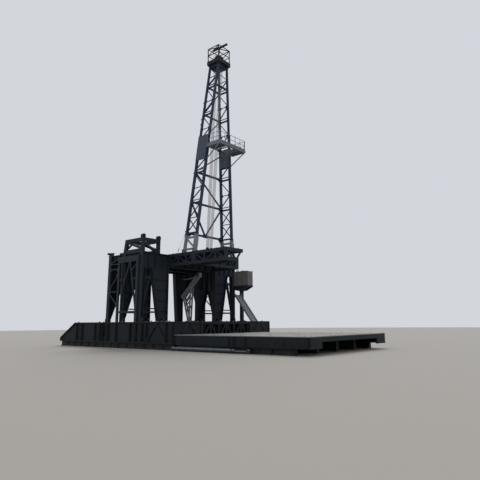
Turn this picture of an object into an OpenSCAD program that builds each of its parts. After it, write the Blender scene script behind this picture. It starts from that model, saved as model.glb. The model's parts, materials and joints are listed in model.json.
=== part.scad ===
// Land drilling rig: two base boxes, tapered portal legs, a trussed drill floor,
// a leaning mast with an open front, and the low platform that lies before it.
// The rig faces +X, its right side is -Y and the ground is z = 0.

/* [Base boxes] */
// Length of a base box, from the tip of its nose to its front end
base_length = 18060; // [17000:10:20000]
// Height of a base box above the ground
base_height = 2400; // [2200:10:2800]
// Height of the skids under a base box
skid_height = 480; // [360:10:600]
// Width of a base box
base_width = 3500; // [3300:10:3700]
// Width over both base boxes
rig_width = 13800; // [13600:10:14600]
// Length of the sloped nose at the rear end
nose_length = 2700; // [1500:10:3000]
// Depth of the panels between the ribs of a base box
panel_depth = 110; // [60:5:160]
// Width of a rib on a base box
rib_width = 170; // [100:5:240]

/* [Portal legs] */
// Distance from the front of the base to the front portals
front_portal_inset = 4940; // [4600:10:5600]
// Distance between the front and the middle portals
middle_portal = 2650; // [2200:10:3000]
// Distance between the front and the rear portals
portal_spacing = 4940; // [4600:10:6000]
// Width of a portal's flanges, along X
flange_width = 470; // [360:10:600]
// Thickness of the flanges and ribs of a portal
flange_thickness = 60; // [30:5:80]
// Thickness of a portal's web plate
web_thickness = 90; // [70:5:160]
// Width of the foot of an outer leg
outer_foot = 280; // [240:10:400]
// Width of the foot of an inner leg of the front portals
inner_foot = 1150; // [900:10:1300]
// Height of the top of the opening in the front portals, above the ground
crotch_height = 7400; // [6600:10:7600]
// Width of that opening at its top
crotch_width = 750; // [500:10:900]
// Height of the top of the opening in the middle portals
middle_crotch = 5900; // [5400:10:6600]
// Height of the top of the opening in the rear portals
rear_crotch = 5700; // [5200:10:6400]
// Radius of the pin in each foot
foot_pin_radius = 55; // [40:5:80]

/* [Drill floor] */
// Height of the drill floor above the ground
floor_height = 9000; // [8600:10:9400]
// Depth of the trusses round the drill floor
truss_depth = 1160; // [900:10:1400]
// Distance from the front portals to the front edge of the drill floor
floor_front = 3600; // [3500:10:4600]
// Length of the wing in front of the drill floor
wing_length = 4200; // [2600:10:4600]
// Width of the wing
wing_width = 2400; // [1900:10:2800]
// Size of the square bars of the floor trusses
floor_chord = 260; // [180:10:320]
// Size of the diagonals of the floor trusses
floor_diagonal = 130; // [80:10:180]
// Thickness of the deck plates
deck_thickness = 60; // [30:5:90]
// Radius of the rotary opening in the drill floor
rotary_radius = 475; // [300:5:600]

/* [Mast] */
// Height of the mast, from the drill floor to the crown
mast_height = 21400; // [20000:100:22500]
// Distance from the front portals to the middle of the mast's foot
mast_offset = 2475; // [2300:5:2700]
// Spacing of the mast's corner posts at the foot, across the rig
mast_foot_width = 5640; // [5300:10:5900]
// Spacing of the mast's corner posts at the foot, along the rig
mast_foot_depth = 1430; // [1300:10:1800]
// Spacing of the corner posts at the crown, across the rig
mast_top_width = 1300; // [1200:10:1700]
// Spacing of the corner posts at the crown, along the rig
mast_top_depth = 1180; // [1100:10:1500]
// Distance by which the mast leans forward at the crown
mast_lean = 1265; // [800:5:1400]
// Size of the square corner posts of the lower mast
post_size = 250; // [200:10:280]
// Size of the cross beams behind the mast
beam_size = 180; // [120:10:200]
// Size of the diagonal bars of the mast
brace_size = 100; // [70:5:130]
// Height of the pale feet of the mast
mast_foot_height = 1800; // [1500:10:2100]
// Number of panels between the mast's feet and the crown
mast_panels = 6; // [5:1:7]

/* [Racking board] */
// Height of the board above the drill floor
board_height = 11200; // [10800:10:11600]
// Reach of the board in front of the mast
board_reach = 2000; // [1600:10:2400]
// Width of the board
board_width = 4100; // [3700:10:4500]
// Height of the railing round the board
railing_height = 1050; // [900:10:1200]

/* [Front platform] */
// Gap between the base and the platform
platform_gap = 150; // [100:10:600]
// Length of the platform along X
platform_length = 13250; // [11600:10:13600]
// Width of the platform along Y
platform_width = 12450; // [11600:10:13200]
// Height of the platform's deck above the ground
platform_height = 1290; // [1200:10:1400]
// Depth of the platform's frame
platform_depth = 830; // [700:10:860]

/* [Hidden] */
$fn = 32;
// clearance between pieces that only rest on or pass through each other
clear = 0.3;
eps = 1;

// along X
x_rear = -(base_length + platform_gap + platform_length) / 2;
x_base = x_rear + base_length;
x_plat = x_base + platform_gap;
x_pf = x_base - front_portal_inset;
x_pm = x_pf - middle_portal;
x_pr = x_pf - portal_spacing;
x_floor = x_pf + floor_front;
x_floor_rear = x_pr - flange_width / 2;
x_mast = x_pf + mast_offset;

// across Y: the rig's own middle plane lies at y_mid, so that the struts lying
// beside the platform are inside a box that is centred on the origin
strut_radius = 130;
strut_eye = 170;
strut_gap = 40;
y_mid = strut_eye + strut_gap / 2;
y_out = rig_width / 2;
y_in = y_out - base_width;
// the lattices of the sides stand flush with the base; the portals are inside them
lattice = 150;
y_leg = y_out - lattice - clear;

// up Z
z_base = base_height;
z_deck = floor_height;
z_steel = z_deck - deck_thickness;
z_truss = z_steel - truss_depth;
z_crown = z_deck + mast_height;
z_foot = z_deck + mast_foot_height;
mast_step = (mast_height - mast_foot_height) / mast_panels;
z_board = z_deck + board_height;
z_plat = platform_height;

// the opening in a portal, as [across, up] points from the inner to the outer foot
z_foot_plate = z_base + 60;
open_front = [[y_in + inner_foot, z_foot_plate], [y_leg - 500 - crotch_width, crotch_height],
  [y_leg - 500, crotch_height], [y_leg - outer_foot, z_foot_plate]];
open_middle = [[y_in + inner_foot * 0.57, z_foot_plate], [y_in + base_width / 2, middle_crotch],
  [y_in + base_width / 2 + 200, middle_crotch], [y_leg - outer_foot + 60, z_foot_plate]];
open_rear = [[y_in - 100, z_foot_plate], [y_in - 100, rear_crotch],
  [y_leg - 1450, rear_crotch], [y_leg - outer_foot + 60, z_foot_plate]];

// a box between two corners
module block(a, b) translate(a) cube([b[0] - a[0], b[1] - a[1], b[2] - a[2]]);

// a bar of w x h between two points
module bar(p, q, w, h = 0) {
  d = q - p;
  flat = norm([d[0], d[1]]);
  tall = h == 0 ? w : h;
  translate(p) rotate([0, atan2(flat, d[2]), flat == 0 ? 0 : atan2(d[1], d[0])])
    translate([-tall / 2, -w / 2, 0]) cube([tall, w, norm(d)]);
}

// an upright or leaning post whose level cuts are squares in line with X and Y
module post(p, q, w) {
  d = q - p;
  translate(p) multmatrix([[1, 0, d[0] / d[2], 0], [0, 1, d[1] / d[2], 0], [0, 0, 1, 0], [0, 0, 0, 1]])
    translate([-w / 2, -w / 2, 0]) cube([w, w, d[2]]);
}

// a round bar between two points
module rod(p, q, r, sides = 16) {
  d = q - p;
  flat = norm([d[0], d[1]]);
  translate(p) rotate([0, atan2(flat, d[2]), flat == 0 ? 0 : atan2(d[1], d[0])])
    cylinder(r = r, h = norm(d), $fn = sides);
}

// the rig's own frame, and the choice of its right (-Y) or left (+Y) side
module rig() translate([0, y_mid, 0]) children();
module side(s) rig() mirror([0, s < 0 ? 1 : 0, 0]) children();
module both() { children(); mirror([0, 1, 0]) children(); }

// The base

// distances of the ribs from the front end of a base box
rib_at = [190, 1070, 3700, 4330, 5200, 6080, 8230, 9500, 9680, 10340, 10840, 11700, 14040, 14970];
girder_web = 40;
girder_flange = 110;
girder_width = 420;

nose_tip = 380;
module nose_plate(t) edge_plate([x_rear, skid_height + nose_tip], [x_rear + nose_length, z_base], t);

module base_outline() polygon([
  [x_rear, skid_height], [x_base, skid_height], [x_base, z_base],
  [x_rear + nose_length, z_base], [x_rear, skid_height + nose_tip]]);

// one long girder of a base box with its outer face at y and its ribs behind it
module base_girder(y, out) {
  far = y - out * girder_width;
  lo = min(y, far);
  hi = max(y, far);
  web = y - out * panel_depth;
  // web
  translate([0, max(web, web - out * girder_web), 0]) rotate([90, 0, 0])
    linear_extrude(girder_web) base_outline();
  // flanges
  block([x_rear, lo, skid_height], [x_base, hi, skid_height + girder_flange]);
  block([x_rear + nose_length, lo, z_base - girder_flange], [x_base, hi, z_base]);
  // sloped flange of the nose and its blunt tip
  translate([0, hi, 0]) rotate([90, 0, 0]) linear_extrude(hi - lo) nose_plate(girder_flange);
  block([x_rear, lo, skid_height], [x_rear + girder_flange, hi, skid_height + nose_tip - 20]);
  // ribs
  for (r = rib_at)
    block([x_base - r - rib_width / 2, lo, skid_height + 10],
          [x_base - r + rib_width / 2, hi, z_base - 10]);
  // the triangular braces of the front panel
  apex = x_base - (rib_at[1] + rib_at[2]) / 2;
  ym = y - out * (panel_depth / 2 + 8);
  for (k = [1, 2])
    bar([x_base - rib_at[k], ym, skid_height + 180], [apex, ym, z_base - 200], panel_depth - 6 * k, 170);
  block([apex - 180, ym - panel_depth / 2 - 4, z_base - 420], [apex + 180, ym + panel_depth / 2 + 4, z_base - 50]);
}

// a shoe for a leg's foot: a bed plate as wide as the foot and two lugs beside it
shoe = 220;
function foot_mid(open, inner) = inner ? (y_in + open[0][0]) / 2 : (y_leg + open[3][0]) / 2;
module foot_shoe(x, y, wide) {
  out = flange_width / 2 + 10;
  block([x - out - 90, y - wide / 2, z_base], [x + out + 90, y + wide / 2, z_base + 50]);
  for (k = [-1, 1]) translate([x + k * (out + 45) - 45, y, z_base]) rotate([90, 0, 90])
    linear_extrude(90) difference() {
      union() {
        translate([-shoe / 2, 0]) square([shoe, 250]);
        translate([0, 250]) circle(r = shoe / 2);
      }
      translate([0, 250]) circle(r = foot_pin_radius + clear);
    }
}
module foot_shoes() color("#4a5158") rig() both() {
  foot_shoe(x_pf, foot_mid(open_front, true), inner_foot - 40);
  foot_shoe(x_pm, foot_mid(open_middle, true), inner_foot * 0.57 - 40);
  foot_shoe(x_pf, foot_mid(open_front, false), outer_foot - 20);
  for (x = [x_pm, x_pr]) foot_shoe(x, foot_mid(open_middle, false), shoe);
}

module base_box() {
  base_girder(y_out, 1);
  base_girder(y_in, -1);
  // deck plate, cross frames and end plate
  block([x_rear + nose_length, y_in + 300, z_base - 60], [x_base, y_out - 300, z_base]);
  for (r = rib_at) block([x_base - r - 30, y_in + 300, skid_height + 200],
                         [x_base - r + 30, y_out - 300, z_base - 30]);
  block([x_base - 60, y_in + 20, skid_height], [x_base, y_out - 20, z_base]);
  block([x_rear + 10, y_in + 20, skid_height], [x_rear + 90, y_out - 20, skid_height + nose_tip - 30]);
  // sloped plate of the nose
  translate([0, y_out - 300, 0]) rotate([90, 0, 0]) linear_extrude(base_width - 600) nose_plate(60);
}

module base_box_right() color("#3c434a") side(-1) base_box();
module base_box_left() color("#3c434a") side(1) base_box();

// the runners under the base boxes, with their gussets
module base_skids() color("#33393f") rig() both() for (y = [y_in + 260, y_out - 260]) {
  block([x_rear + 250, y - 130, 0], [x_base - 20, y + 130, skid_height]);
  block([x_rear + 250, y - 200, 0], [x_base - 20, y + 200, 60]);
  for (i = [1:13]) {
    x = x_rear + 250 + i * (base_length - 500) / 14;
    block([x - 20, y - 200, 0], [x + 20, y + 200, skid_height]);
    block([x - 160, y - 170, skid_height - 130], [x + 160, y + 170, skid_height]);
  }
}

// the truss across the front, between the two base boxes
module base_front_truss() color("#3c434a") rig() {
  w = 300;
  x = x_base - w / 2 - 20;
  y0 = y_in - clear;
  n = 6;
  end = 90;
  step = 2 * (y0 - end) / n;
  for (z = [skid_height + 130, z_base - 130])
    block([x - w / 2, -y0, z - 130], [x + w / 2, y0, z + 130]);
  for (i = [0:n]) {
    y = -y0 + end + i * step;
    block([x - 100, y - end, skid_height + 100], [x + 100, y + end, z_base - 100]);
  }
  for (i = [0:n - 1]) {
    up = i % 2 == 0;
    bar([x, -y0 + end + i * step, up ? skid_height + 130 : z_base - 130],
        [x, -y0 + end + (i + 1) * step, up ? z_base - 130 : skid_height + 130], 150, 150);
  }
}

// the beams between the base boxes under the front and the rear portals
module base_cross_beams() color("#3c434a") rig() for (x = [x_pf, x_pr]) {
  y0 = y_in - clear;
  h = 1100;
  block([x - 40, -y0, z_base - h], [x + 40, y0, z_base]);
  for (z = [z_base - h, z_base - 60]) block([x - 300, -y0, z], [x + 300, y0, z + 60]);
  for (i = [0:8]) {
    y = -y0 + 40 + i * (2 * y0 - 80) / 8;
    block([x - 280, y - 25, z_base - h], [x + 280, y + 25, z_base]);
  }
}

// The portal legs

// a flange plate of the given thickness on the right of the line from a to b
module edge_plate(a, b, t) {
  d = (b - a) / norm(b - a);
  n = [d[1], -d[0]];
  polygon([a, b, b + n * t, a + n * t]);
}

// where the edges of an opening lie at a height
function edge_at(a, b, z) = a[0] + (b[0] - a[0]) * (z - a[1]) / (b[1] - a[1]);
function leg_in(open, z) = edge_at(open[0], open[1], z);
function leg_out(open, z) = edge_at(open[3], open[2], z);

// the outline of a portal; the rear ones have an inner leg beyond the base box
z_inner = z_truss - clear;
module portal_outline(open) {
  zb = z_foot_plate;
  translate([y_in, min(open[0][0], y_in) < y_in ? rear_crotch : zb])
    square([y_leg - y_in, z_steel - (min(open[0][0], y_in) < y_in ? rear_crotch : zb)]);
  if (open[0][0] < y_in) {
    translate([open[2][0] - 10, zb]) square([y_leg - open[2][0] + 10, rear_crotch - zb + 10]);
    polygon([[open[0][0] - 850, zb], [open[0][0], zb], [open[0][0], rear_crotch - 1], [y_in + 1, rear_crotch - 1],
             [y_in + 1, z_inner], [open[0][0] - 1310, z_inner]]);
  }
}
module portal_web(open) difference() {
  portal_outline(open);
  polygon([open[0] - [0, 1], open[1], open[2], open[3] - [0, 1]]);
}

module portal_flanges(open) {
  t = flange_thickness;
  zb = z_foot_plate;
  rear = open[0][0] < y_in;
  translate([y_in, rear ? z_inner - t : zb]) square([t, z_steel - (rear ? z_inner - t : zb)]);
  translate([y_leg - t, zb]) square([t, z_steel - zb]);
  translate([y_in, z_steel - t]) square([y_leg - y_in, t]);
  edge_plate(open[1], open[0], t);
  edge_plate(open[3], open[2], t);
  translate([open[1][0] - t, open[1][1]]) square([open[2][0] - open[1][0] + 2 * t, t]);
  translate([leg_out(open, zb), zb]) square([y_leg - leg_out(open, zb), t]);
  if (rear) {
    edge_plate([open[0][0] - 850, zb], [open[0][0] - 1310, z_inner], t);
    translate([open[0][0] - 850, zb]) square([850, t]);
    translate([open[0][0] - 1310, z_inner - t]) square([1410, t]);
  } else translate([y_in, zb]) square([leg_in(open, zb) - y_in, t]);
}

// ribs across the legs, and upright ribs above the opening
module portal_ribs(open) {
  t = flange_thickness * 0.6;
  top = open[1][1];
  for (k = [1:4]) translate([0, z_base + k * (top - z_base) / 5]) square([y_leg - 10, t]);
  for (k = [1:3]) translate([y_in + k * (y_leg - y_in) / 4 - t / 2, top]) square([t, z_steel - top]);
}

module across(x, w) translate([x - w / 2, 0, 0]) rotate([90, 0, 90]) linear_extrude(w) children();

module portal(x, open) {
  rear = open[0][0] < y_in;
  across(x, web_thickness) portal_web(open);
  across(x, flange_width) intersection() { portal_flanges(open); portal_outline(open); }
  across(x, flange_width - 120) intersection() { portal_ribs(open); portal_web(open); }
  // feet: a boss and a pin that passes through the lugs on the base
  for (y = rear ? [foot_mid(open, false)] : [foot_mid(open, true), foot_mid(open, false)]) {
    translate([x - flange_width / 2 - 110, y, z_base + 250]) rotate([0, 90, 0])
      cylinder(r = foot_pin_radius, h = flange_width + 220);
    translate([x - flange_width / 2, y, z_base + 250]) rotate([0, 90, 0])
      cylinder(r = 2 * foot_pin_radius, h = flange_width);
  }
  // the inner leg of a rear portal stands on the beam between the base boxes
  if (rear) block([x - 230, open[0][0] - 850, z_base], [x + 230, open[0][0], z_foot_plate + 10]);
}

// the brace and the short ties inside the opening of a front portal
module front_brace() {
  a = [x_pf, leg_in(open_front, crotch_height - 120) - 20, crotch_height - 120];
  b = [x_pf, leg_out(open_front, z_base + 1250) + 20, z_base + 1250];
  bar(a, b, 110, 140);
  for (k = [[4150, 250, 104], [3720, 90, 96]]) {
    z = z_base + k[0];
    y = a[1] + (b[1] - a[1]) * (a[2] - z) / (a[2] - b[2]);
    block([x_pf - k[2] / 2, y, z - k[1] / 2], [x_pf + k[2] / 2, leg_out(open_front, z) + 20, z + k[1] / 2]);
  }
}

module portal_front() { portal(x_pf, open_front); front_brace(); }
module portal_front_right() color("#3a4149") side(-1) portal_front();
module portal_front_left() color("#3a4149") side(1) portal_front();
module portal_middle_right() color("#3a4149") side(-1) portal(x_pm, open_middle);
module portal_middle_left() color("#3a4149") side(1) portal(x_pm, open_middle);
module portal_rear_right() color("#3a4149") side(-1) portal(x_pr, open_rear);
module portal_rear_left() color("#3a4149") side(1) portal(x_pr, open_rear);

// ties low down inside the openings of the portals
module leg_ties() color("#4a5158") rig() both() for (p = [[x_pf, open_front], [x_pm, open_middle]]) {
  for (k = [-1, 1], h = [[900, 150], [1220, 100]]) {
    xx = p[0] + k * (web_thickness / 2 + 70);
    z = z_base + h[0];
    block([xx - 50, leg_in(p[1], z + h[1] / 2) + clear, z - h[1] / 2],
          [xx + 50, leg_out(p[1], z + h[1] / 2) - clear, z + h[1] / 2]);
  }
}

// The side frames

// the lattice in the outer plane of each side, in front of the portals
module side_lattice() {
  w = 150;
  y = y_out - lattice / 2;
  x0 = x_pr + flange_width / 2 + 60;
  x1 = x_pf - flange_width / 2;
  xm = x_pf - 3240;
  xb = x_pf - 2720;
  xa = x_pf - 1500;
  zl = z_steel - 860;
  zt = z_steel - 250;
  wf = 300;
  for (x = [[x0, 120], [xm, 260], [xb, 130], [x1 - wf / 2, wf]])
    block([x[0] - x[1] / 2, y_out - lattice, z_base], [x[0] + x[1] / 2, y_out, x[0] == xb ? zl + 20 : zt]);
  // the deep bar of the front bay
  block([xm, y_out - lattice + 4, zl], [x1 - 10, y_out - 4, zt - 40]);
  // the K braces of the rear bay
  for (z = [z_base + 2900, z_steel - 1420, zl - 60])
    block([x0, y - 58, z - 50], [xm, y + 58, z + 50]);
  bar([x0, y, zl], [xm, y, zt - 60], 104, 100);
  bar([x0, y, z_base + 3200], [xm, y, z_base + 4550], 108, 100);
  bar([x0, y, z_base + 2700], [xm, y, z_base + 1500], 112, 100);
  // the inverted V of the front bay, its links, and the tie under its feet
  bar([xb, y, z_base + 2700], [xa, y, zl + 60], 124, 130);
  bar([x1 - wf / 2, y, z_base + 700], [xa, y, zl + 60], 128, 130);
  bar([x1 - 100, y, zl - 100], [xa + 180, y, zl - 900], 116, 110);
  block([xm, y - 47, z_base + 3950], [xb + 560, y + 47, z_base + 4050]);
  block([xa + 200, y - 44, z_base + 3980], [x1 - 100, y + 44, z_base + 4080]);
  block([xm, y - 66, z_base + 850], [x1 - 100, y + 66, z_base + 1010]);
}
module side_lattice_right() color("#596067") side(-1) side_lattice();
module side_lattice_left() color("#596067") side(1) side_lattice();

// the beams along the tops of the portals
top_beam = 640;
module side_top_frame(x0, x1) {
  t = 50;
  for (y = [y_leg - 200, y_in + 200]) {
    block([x0, y - 20, z_steel - top_beam], [x1, y + 20, z_steel]);
    for (z = [z_steel - top_beam, z_steel - t]) block([x0, y - 190, z], [x1, y + 190, z + t]);
    for (i = [1:2]) {
      x = x0 + i * (x1 - x0) / 3;
      block([x - 20, y - 170, z_steel - top_beam + 20], [x + 20, y + 170, z_steel - 10]);
    }
  }
  for (x = [x0 + 150, x1 - 150])
    block([x - 100, y_in + 200, z_steel - 420], [x + 100, y_leg - 200, z_steel - 120]);
}
module side_tops() color("#3a4149") rig() both() {
  h = flange_width / 2 + clear;
  side_top_frame(x_pr + h, x_pm - h);
  side_top_frame(x_pm + h, x_pf - h);
}

// the stubs behind the rear portals that carry the hoist's frame
module rear_stubs() color("#3a4149") rig() both() for (y = [y_leg - 250, y_in + 250]) {
  x1 = x_pr + flange_width / 2;
  block([x_pr - 520, y - 30, z_steel], [x1, y + 30, z_steel + 330]);
  for (z = [z_steel, z_steel + 290]) block([x_pr - 520, y - 150, z], [x1, y + 150, z + 40]);
  block([x_pr - 560, y - 220, z_steel + 180], [x_pr - 500, y + 220, z_steel + 400]);
}

// The raising gantry: a portal frame on top of each side

gantry_rear = 2420;
gantry_in = y_leg - 2200;

module gantry_head(x, y) {
  translate([x - 130, y, z_steel + 1560]) rotate([0, 90, 0]) cylinder(r = 210, h = 260);
  block([x - 170, y - 170, z_steel + 1360], [x + 170, y + 170, z_steel + 1500]);
}

module raising_gantry() {
  w = 300;
  x1 = x_pf;
  x0 = x_pf - gantry_rear;
  zt = z_steel + 1400;
  y0 = gantry_in + w / 2;
  y1 = y_leg - w / 2;
  for (y = [y0, y1]) {
    block([x1 - w / 2, y - w / 2, z_steel], [x1 + w / 2, y + w / 2, zt]);
    block([x1 - w / 2 - 60, y - w / 2, z_steel], [x1 + w / 2 + 60, y + w / 2, z_steel + 50]);
    // the raked rear leg and its foot
    translate([0, y + w / 2 - 12, 0]) rotate([90, 0, 0]) linear_extrude(w - 24) polygon([
      [x0 - 420, z_steel], [x0 - 60, z_steel], [x0 + 200, zt - 20], [x0 - 170, zt - 20]]);
    block([x0 - 1000, y - 130, z_steel], [x0 - 100, y + 130, z_steel + 160]);
    block([x0 - 150, y - 130, zt - 330], [x1 + w / 2, y + 130, zt]);
    // the brace from the raked leg's head to the foot of the front post, and the sill
    bar([x0 + 80, y, zt - 260], [x1 - 60, y, z_steel + 330], 190, 240);
    block([x0 - 100, y - 112, z_steel], [x1, y + 112, z_steel + 350]);
  }
  for (x = [x0 + 20, x1]) block([x - 130, y0, zt - 330], [x + 130, y1, zt]);
  // the brace and the sill of the front face
  bar([x1, y1 - 60, z_steel + 890], [x1, y0 + 200, z_steel + 140], 230, 210);
  block([x1 - 112, y0, z_steel], [x1 + 112, y1, z_steel + 80]);
  bar([x0 + 20, y1 - 60, zt - 900], [x0 + 20, y1 - 760, zt - 200], 150, 150);
  bar([x0 + 20, y0 + 60, zt - 900], [x0 + 20, y0 + 760, zt - 200], 150, 150);
  for (y = [y0, y1]) gantry_head(x1, y);
  gantry_head(x0 + 60, y0);
}
module raising_gantry_right() color("#363d45") side(-1) raising_gantry();
module raising_gantry_left() color("#363d45") side(1) raising_gantry();

// The drill floor

floor_y = y_in - clear;

module truss_line(p, q, n, up = true) {
  // a flat truss between two points on its top line; its end posts stay inside them
  d = (q - p) / n;
  c = floor_chord;
  lo = [0, 0, -truss_depth];
  hc = [0, 0, -c / 2];
  at = [for (i = [0:n]) p + d * (i == 0 ? c / 2 / norm(d) : i == n ? n - c / 2 / norm(d) : i)];
  bar(p + hc, q + hc, c, c);
  bar(p + lo - hc, q + lo - hc, c, c);
  for (i = [0:n]) bar(at[i] + hc, at[i] + lo - hc, i == 0 || i == n ? c : floor_diagonal + 20);
  for (i = [0:n - 1]) {
    a = (i % 2 == 0) == up;
    bar(at[i] + (a ? lo - hc : hc), at[i + 1] + (a ? hc : lo - hc), floor_diagonal);
  }
}

module floor_truss(s) rig() {
  y = s * (floor_y - floor_chord / 2);
  truss_line([x_floor_rear, y, z_steel], [x_floor, y, z_steel], 8, s > 0);
}
module floor_truss_right() color("#3f474f") floor_truss(-1);
module floor_truss_left() color("#3f474f") floor_truss(1);

module floor_end_trusses() color("#3f474f") rig() {
  y = floor_y - floor_chord - clear;
  for (x = [x_floor - floor_chord / 2, x_floor_rear + floor_chord / 2])
    truss_line([x, -y, z_steel], [x, y, z_steel], 6);
}

// the girders across the rig between the side frames
deck_beam = 300;
module cross_girders() color("#3a4149") rig() {
  y = floor_y - floor_chord - clear;
  for (x = [x_pm, x_pf]) {
    block([x - 25, -y, z_truss], [x + 25, y, z_steel - deck_beam - 30]);
    for (z = [z_truss - 60, z_steel - deck_beam - 60 - clear])
      block([x - 210, -y, z], [x + 210, y, z + 60]);
    for (i = [0:6]) {
      yy = -y + 40 + i * (2 * y - 80) / 6;
      block([x - 190, yy - 20, z_truss - 20], [x + 190, yy + 20, z_steel - deck_beam - 30]);
    }
  }
}

// the beams right under the deck: two along the rig, and four across it that butt
// against them
module i_beam_x(x0, x1, y, w, h) {
  block([x0, y - 20, z_steel - h], [x1, y + 20, z_steel]);
  for (z = [z_steel - h, z_steel - 40]) block([x0, y - w / 2, z], [x1, y + w / 2, z + 40]);
}
module i_beam_y(x, y0, y1, w, h) {
  block([x - 20, y0, z_steel - h], [x + 20, y1, z_steel]);
  for (z = [z_steel - h, z_steel - 40]) block([x - w / 2, y0, z], [x + w / 2, y1, z + 40]);
}
module floor_beams() color("#3f474f") rig() {
  y = floor_y - floor_chord - clear;
  x0 = x_floor_rear + floor_chord + clear;
  x1 = x_floor - floor_chord - clear;
  w = 240;
  ym = 950;
  for (yy = [-ym, ym]) i_beam_x(x0, x1, yy, w, deck_beam);
  for (x = [x_mast - mast_foot_depth / 2, x_mast + mast_foot_depth / 2, x_pm, x_pf])
    for (k = [[-y, -ym - w / 2 - clear], [-ym + w / 2 + clear, ym - w / 2 - clear], [ym + w / 2 + clear, y]])
      i_beam_y(x, k[0], k[1], 280, deck_beam);
}

module floor_deck() color("#4b5157") rig() {
  gap = 6;
  difference() {
    block([x_floor_rear, -floor_y, z_steel], [x_floor - gap, floor_y, z_deck]);
    translate([x_mast, 0, z_steel - 50]) cylinder(r = rotary_radius, h = 200, $fn = 64);
  }
  block([x_floor + gap, -floor_y, z_steel], [x_floor + wing_length, -floor_y + wing_width, z_deck]);
}

// the wing before the right half of the floor, with its sloped end bracket
module floor_wing() color("#3f474f") rig() {
  c = floor_chord;
  x0 = x_floor + clear;
  x1 = x_floor + wing_length;
  y0 = -floor_y + c / 2;
  y1 = y0 + wing_width - c;
  yb = y1 - 760;
  zt = z_steel - c / 2;
  zb = z_truss + c / 2;
  truss_line([x0, y0, z_steel], [x1, y0, z_steel], 3, false);
  bar([x0, y1, zt], [x1, y1, zt], c, c);
  bar([x0, yb, zb], [x1, yb, zb], c, c);
  for (x = [x0 + c / 2, (x0 + x1) / 2, x1 - c / 2]) {
    bar([x, y0, zt], [x, y1 + c / 2, zt], c, c);
    bar([x, y0, zb], [x, yb + c / 2, zb], c, c);
    bar([x, yb, zb], [x, y1, zt], floor_diagonal, floor_diagonal);
    bar([x, yb, zb], [x, (y0 + yb) / 2, zt], floor_diagonal, floor_diagonal);
    bar([x, y0, zb], [x, (y0 + yb) / 2, zt], floor_diagonal, floor_diagonal);
  }
}

// the turntable in the floor: a ring with a square master hole and a low skirt
module rotary_table() color("#6a6f73") rig() translate([x_mast, 0, 0]) difference() {
  union() {
    translate([0, 0, z_steel - 240]) cylinder(r = rotary_radius - 4, h = 240 + deck_thickness + 40, $fn = 64);
    translate([0, 0, z_deck + clear]) cylinder(r = rotary_radius + 160, h = 90, $fn = 64);
  }
  translate([0, 0, z_steel - 300]) cylinder(r = 222, h = 600, $fn = 48);
}

// The mast

function up(z) = (z - z_deck) / mast_height;
function mast_x(front, z) = x_mast + up(z) * mast_lean
  + (front ? 0.5 : -0.5) * (mast_foot_depth + up(z) * (mast_top_depth - mast_foot_depth));
function mast_y(z) = (mast_foot_width + up(z) * (mast_top_width - mast_foot_width)) / 2;
function corner(front, z) = [mast_x(front, z), mast_y(z), z];

// section joints: pale feet, lower mast, upper mast
z_joint = z_foot + 3 * mast_step;
upper_post = post_size * 0.8;
lower_post = post_size * 0.92;
collar = 50;
z_top = z_crown - 420;

module mast_post(front, z0, z1, size) post(corner(front, z0), corner(front, z1), size);

// the two posts of one side of the mast, with collars where the sections join
module mast_posts(z0, z1, size, grow = 0) for (f = [false, true]) {
  mast_post(f, z0, z1, size + grow);
  for (k = [[z0, z0 + 160], [z1 - 160, z1]]) mast_post(f, k[0], k[1], size + collar + grow);
}

module mast_foot() {
  z0 = z_deck + 70;
  z1 = z_foot - clear;
  mast_posts(z0, z1, post_size);
  for (z = [z0 + 300, z1 - 260]) bar(corner(false, z), corner(true, z), 180, 180);
  bar(corner(false, z1 - 260), corner(true, z0 + 300), 140, 140);
  // the front foot is a wider plated post
  post(corner(true, z0), corner(true, z1 - 300), post_size + 90);
  // base plates and ears
  for (f = [false, true]) {
    c = corner(f, z_deck);
    block([c[0] - 260, c[1] - 250, z_deck], [c[0] + 260, c[1] + 200, z_deck + 60]);
    for (k = [-1, 1]) block([c[0] - 170, c[1] + k * 150 - 25, z_deck], [c[0] + 170, c[1] + k * 150 + 25, z_deck + 420]);
  }
}
module mast_feet() color("#8b9298") rig() both() mast_foot();

// the bracing of one side of the mast between two levels: a thick bar with a thin one
// above it, a bar half way up, and two diagonals that meet on the front post there
module side_panel(za, zb, thick, thin) {
  zm = (za + zb) / 2;
  bar(corner(false, za), corner(true, za), thick, thick);
  bar(corner(false, za + 300), corner(true, za + 300), thin, thin);
  bar(corner(false, zm), corner(true, zm), thin - 6, thin - 6);
  bar(corner(false, zb - 60), corner(true, zm + 40), thin + 8, thin + 8);
  bar(corner(true, zm - 40), corner(false, za + 380), thin + 14, thin + 14);
}
// a panel with two crosses, one above the other
module side_crosses(za, zb, thick, thin) {
  bar(corner(false, za), corner(true, za), thick, thick);
  for (k = [0, 1]) {
    z0 = za + 80 + k * (zb - za - 80) / 2;
    z1 = z0 + (zb - za - 80) / 2;
    bar(corner(false, z0), corner(true, z1), thin, thin);
    bar(corner(true, z0), corner(false, z1), thin + 8, thin + 8);
    if (k == 1) bar(corner(false, z0), corner(true, z0), thin - 8, thin - 8);
  }
}
// a gusset where the diagonals meet on the front post
module side_gusset(z, size) {
  c = corner(true, z);
  block([c[0] - 330, c[1] - size / 2, z - 170], [c[0], c[1] + size / 2, z + 170]);
}

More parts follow.
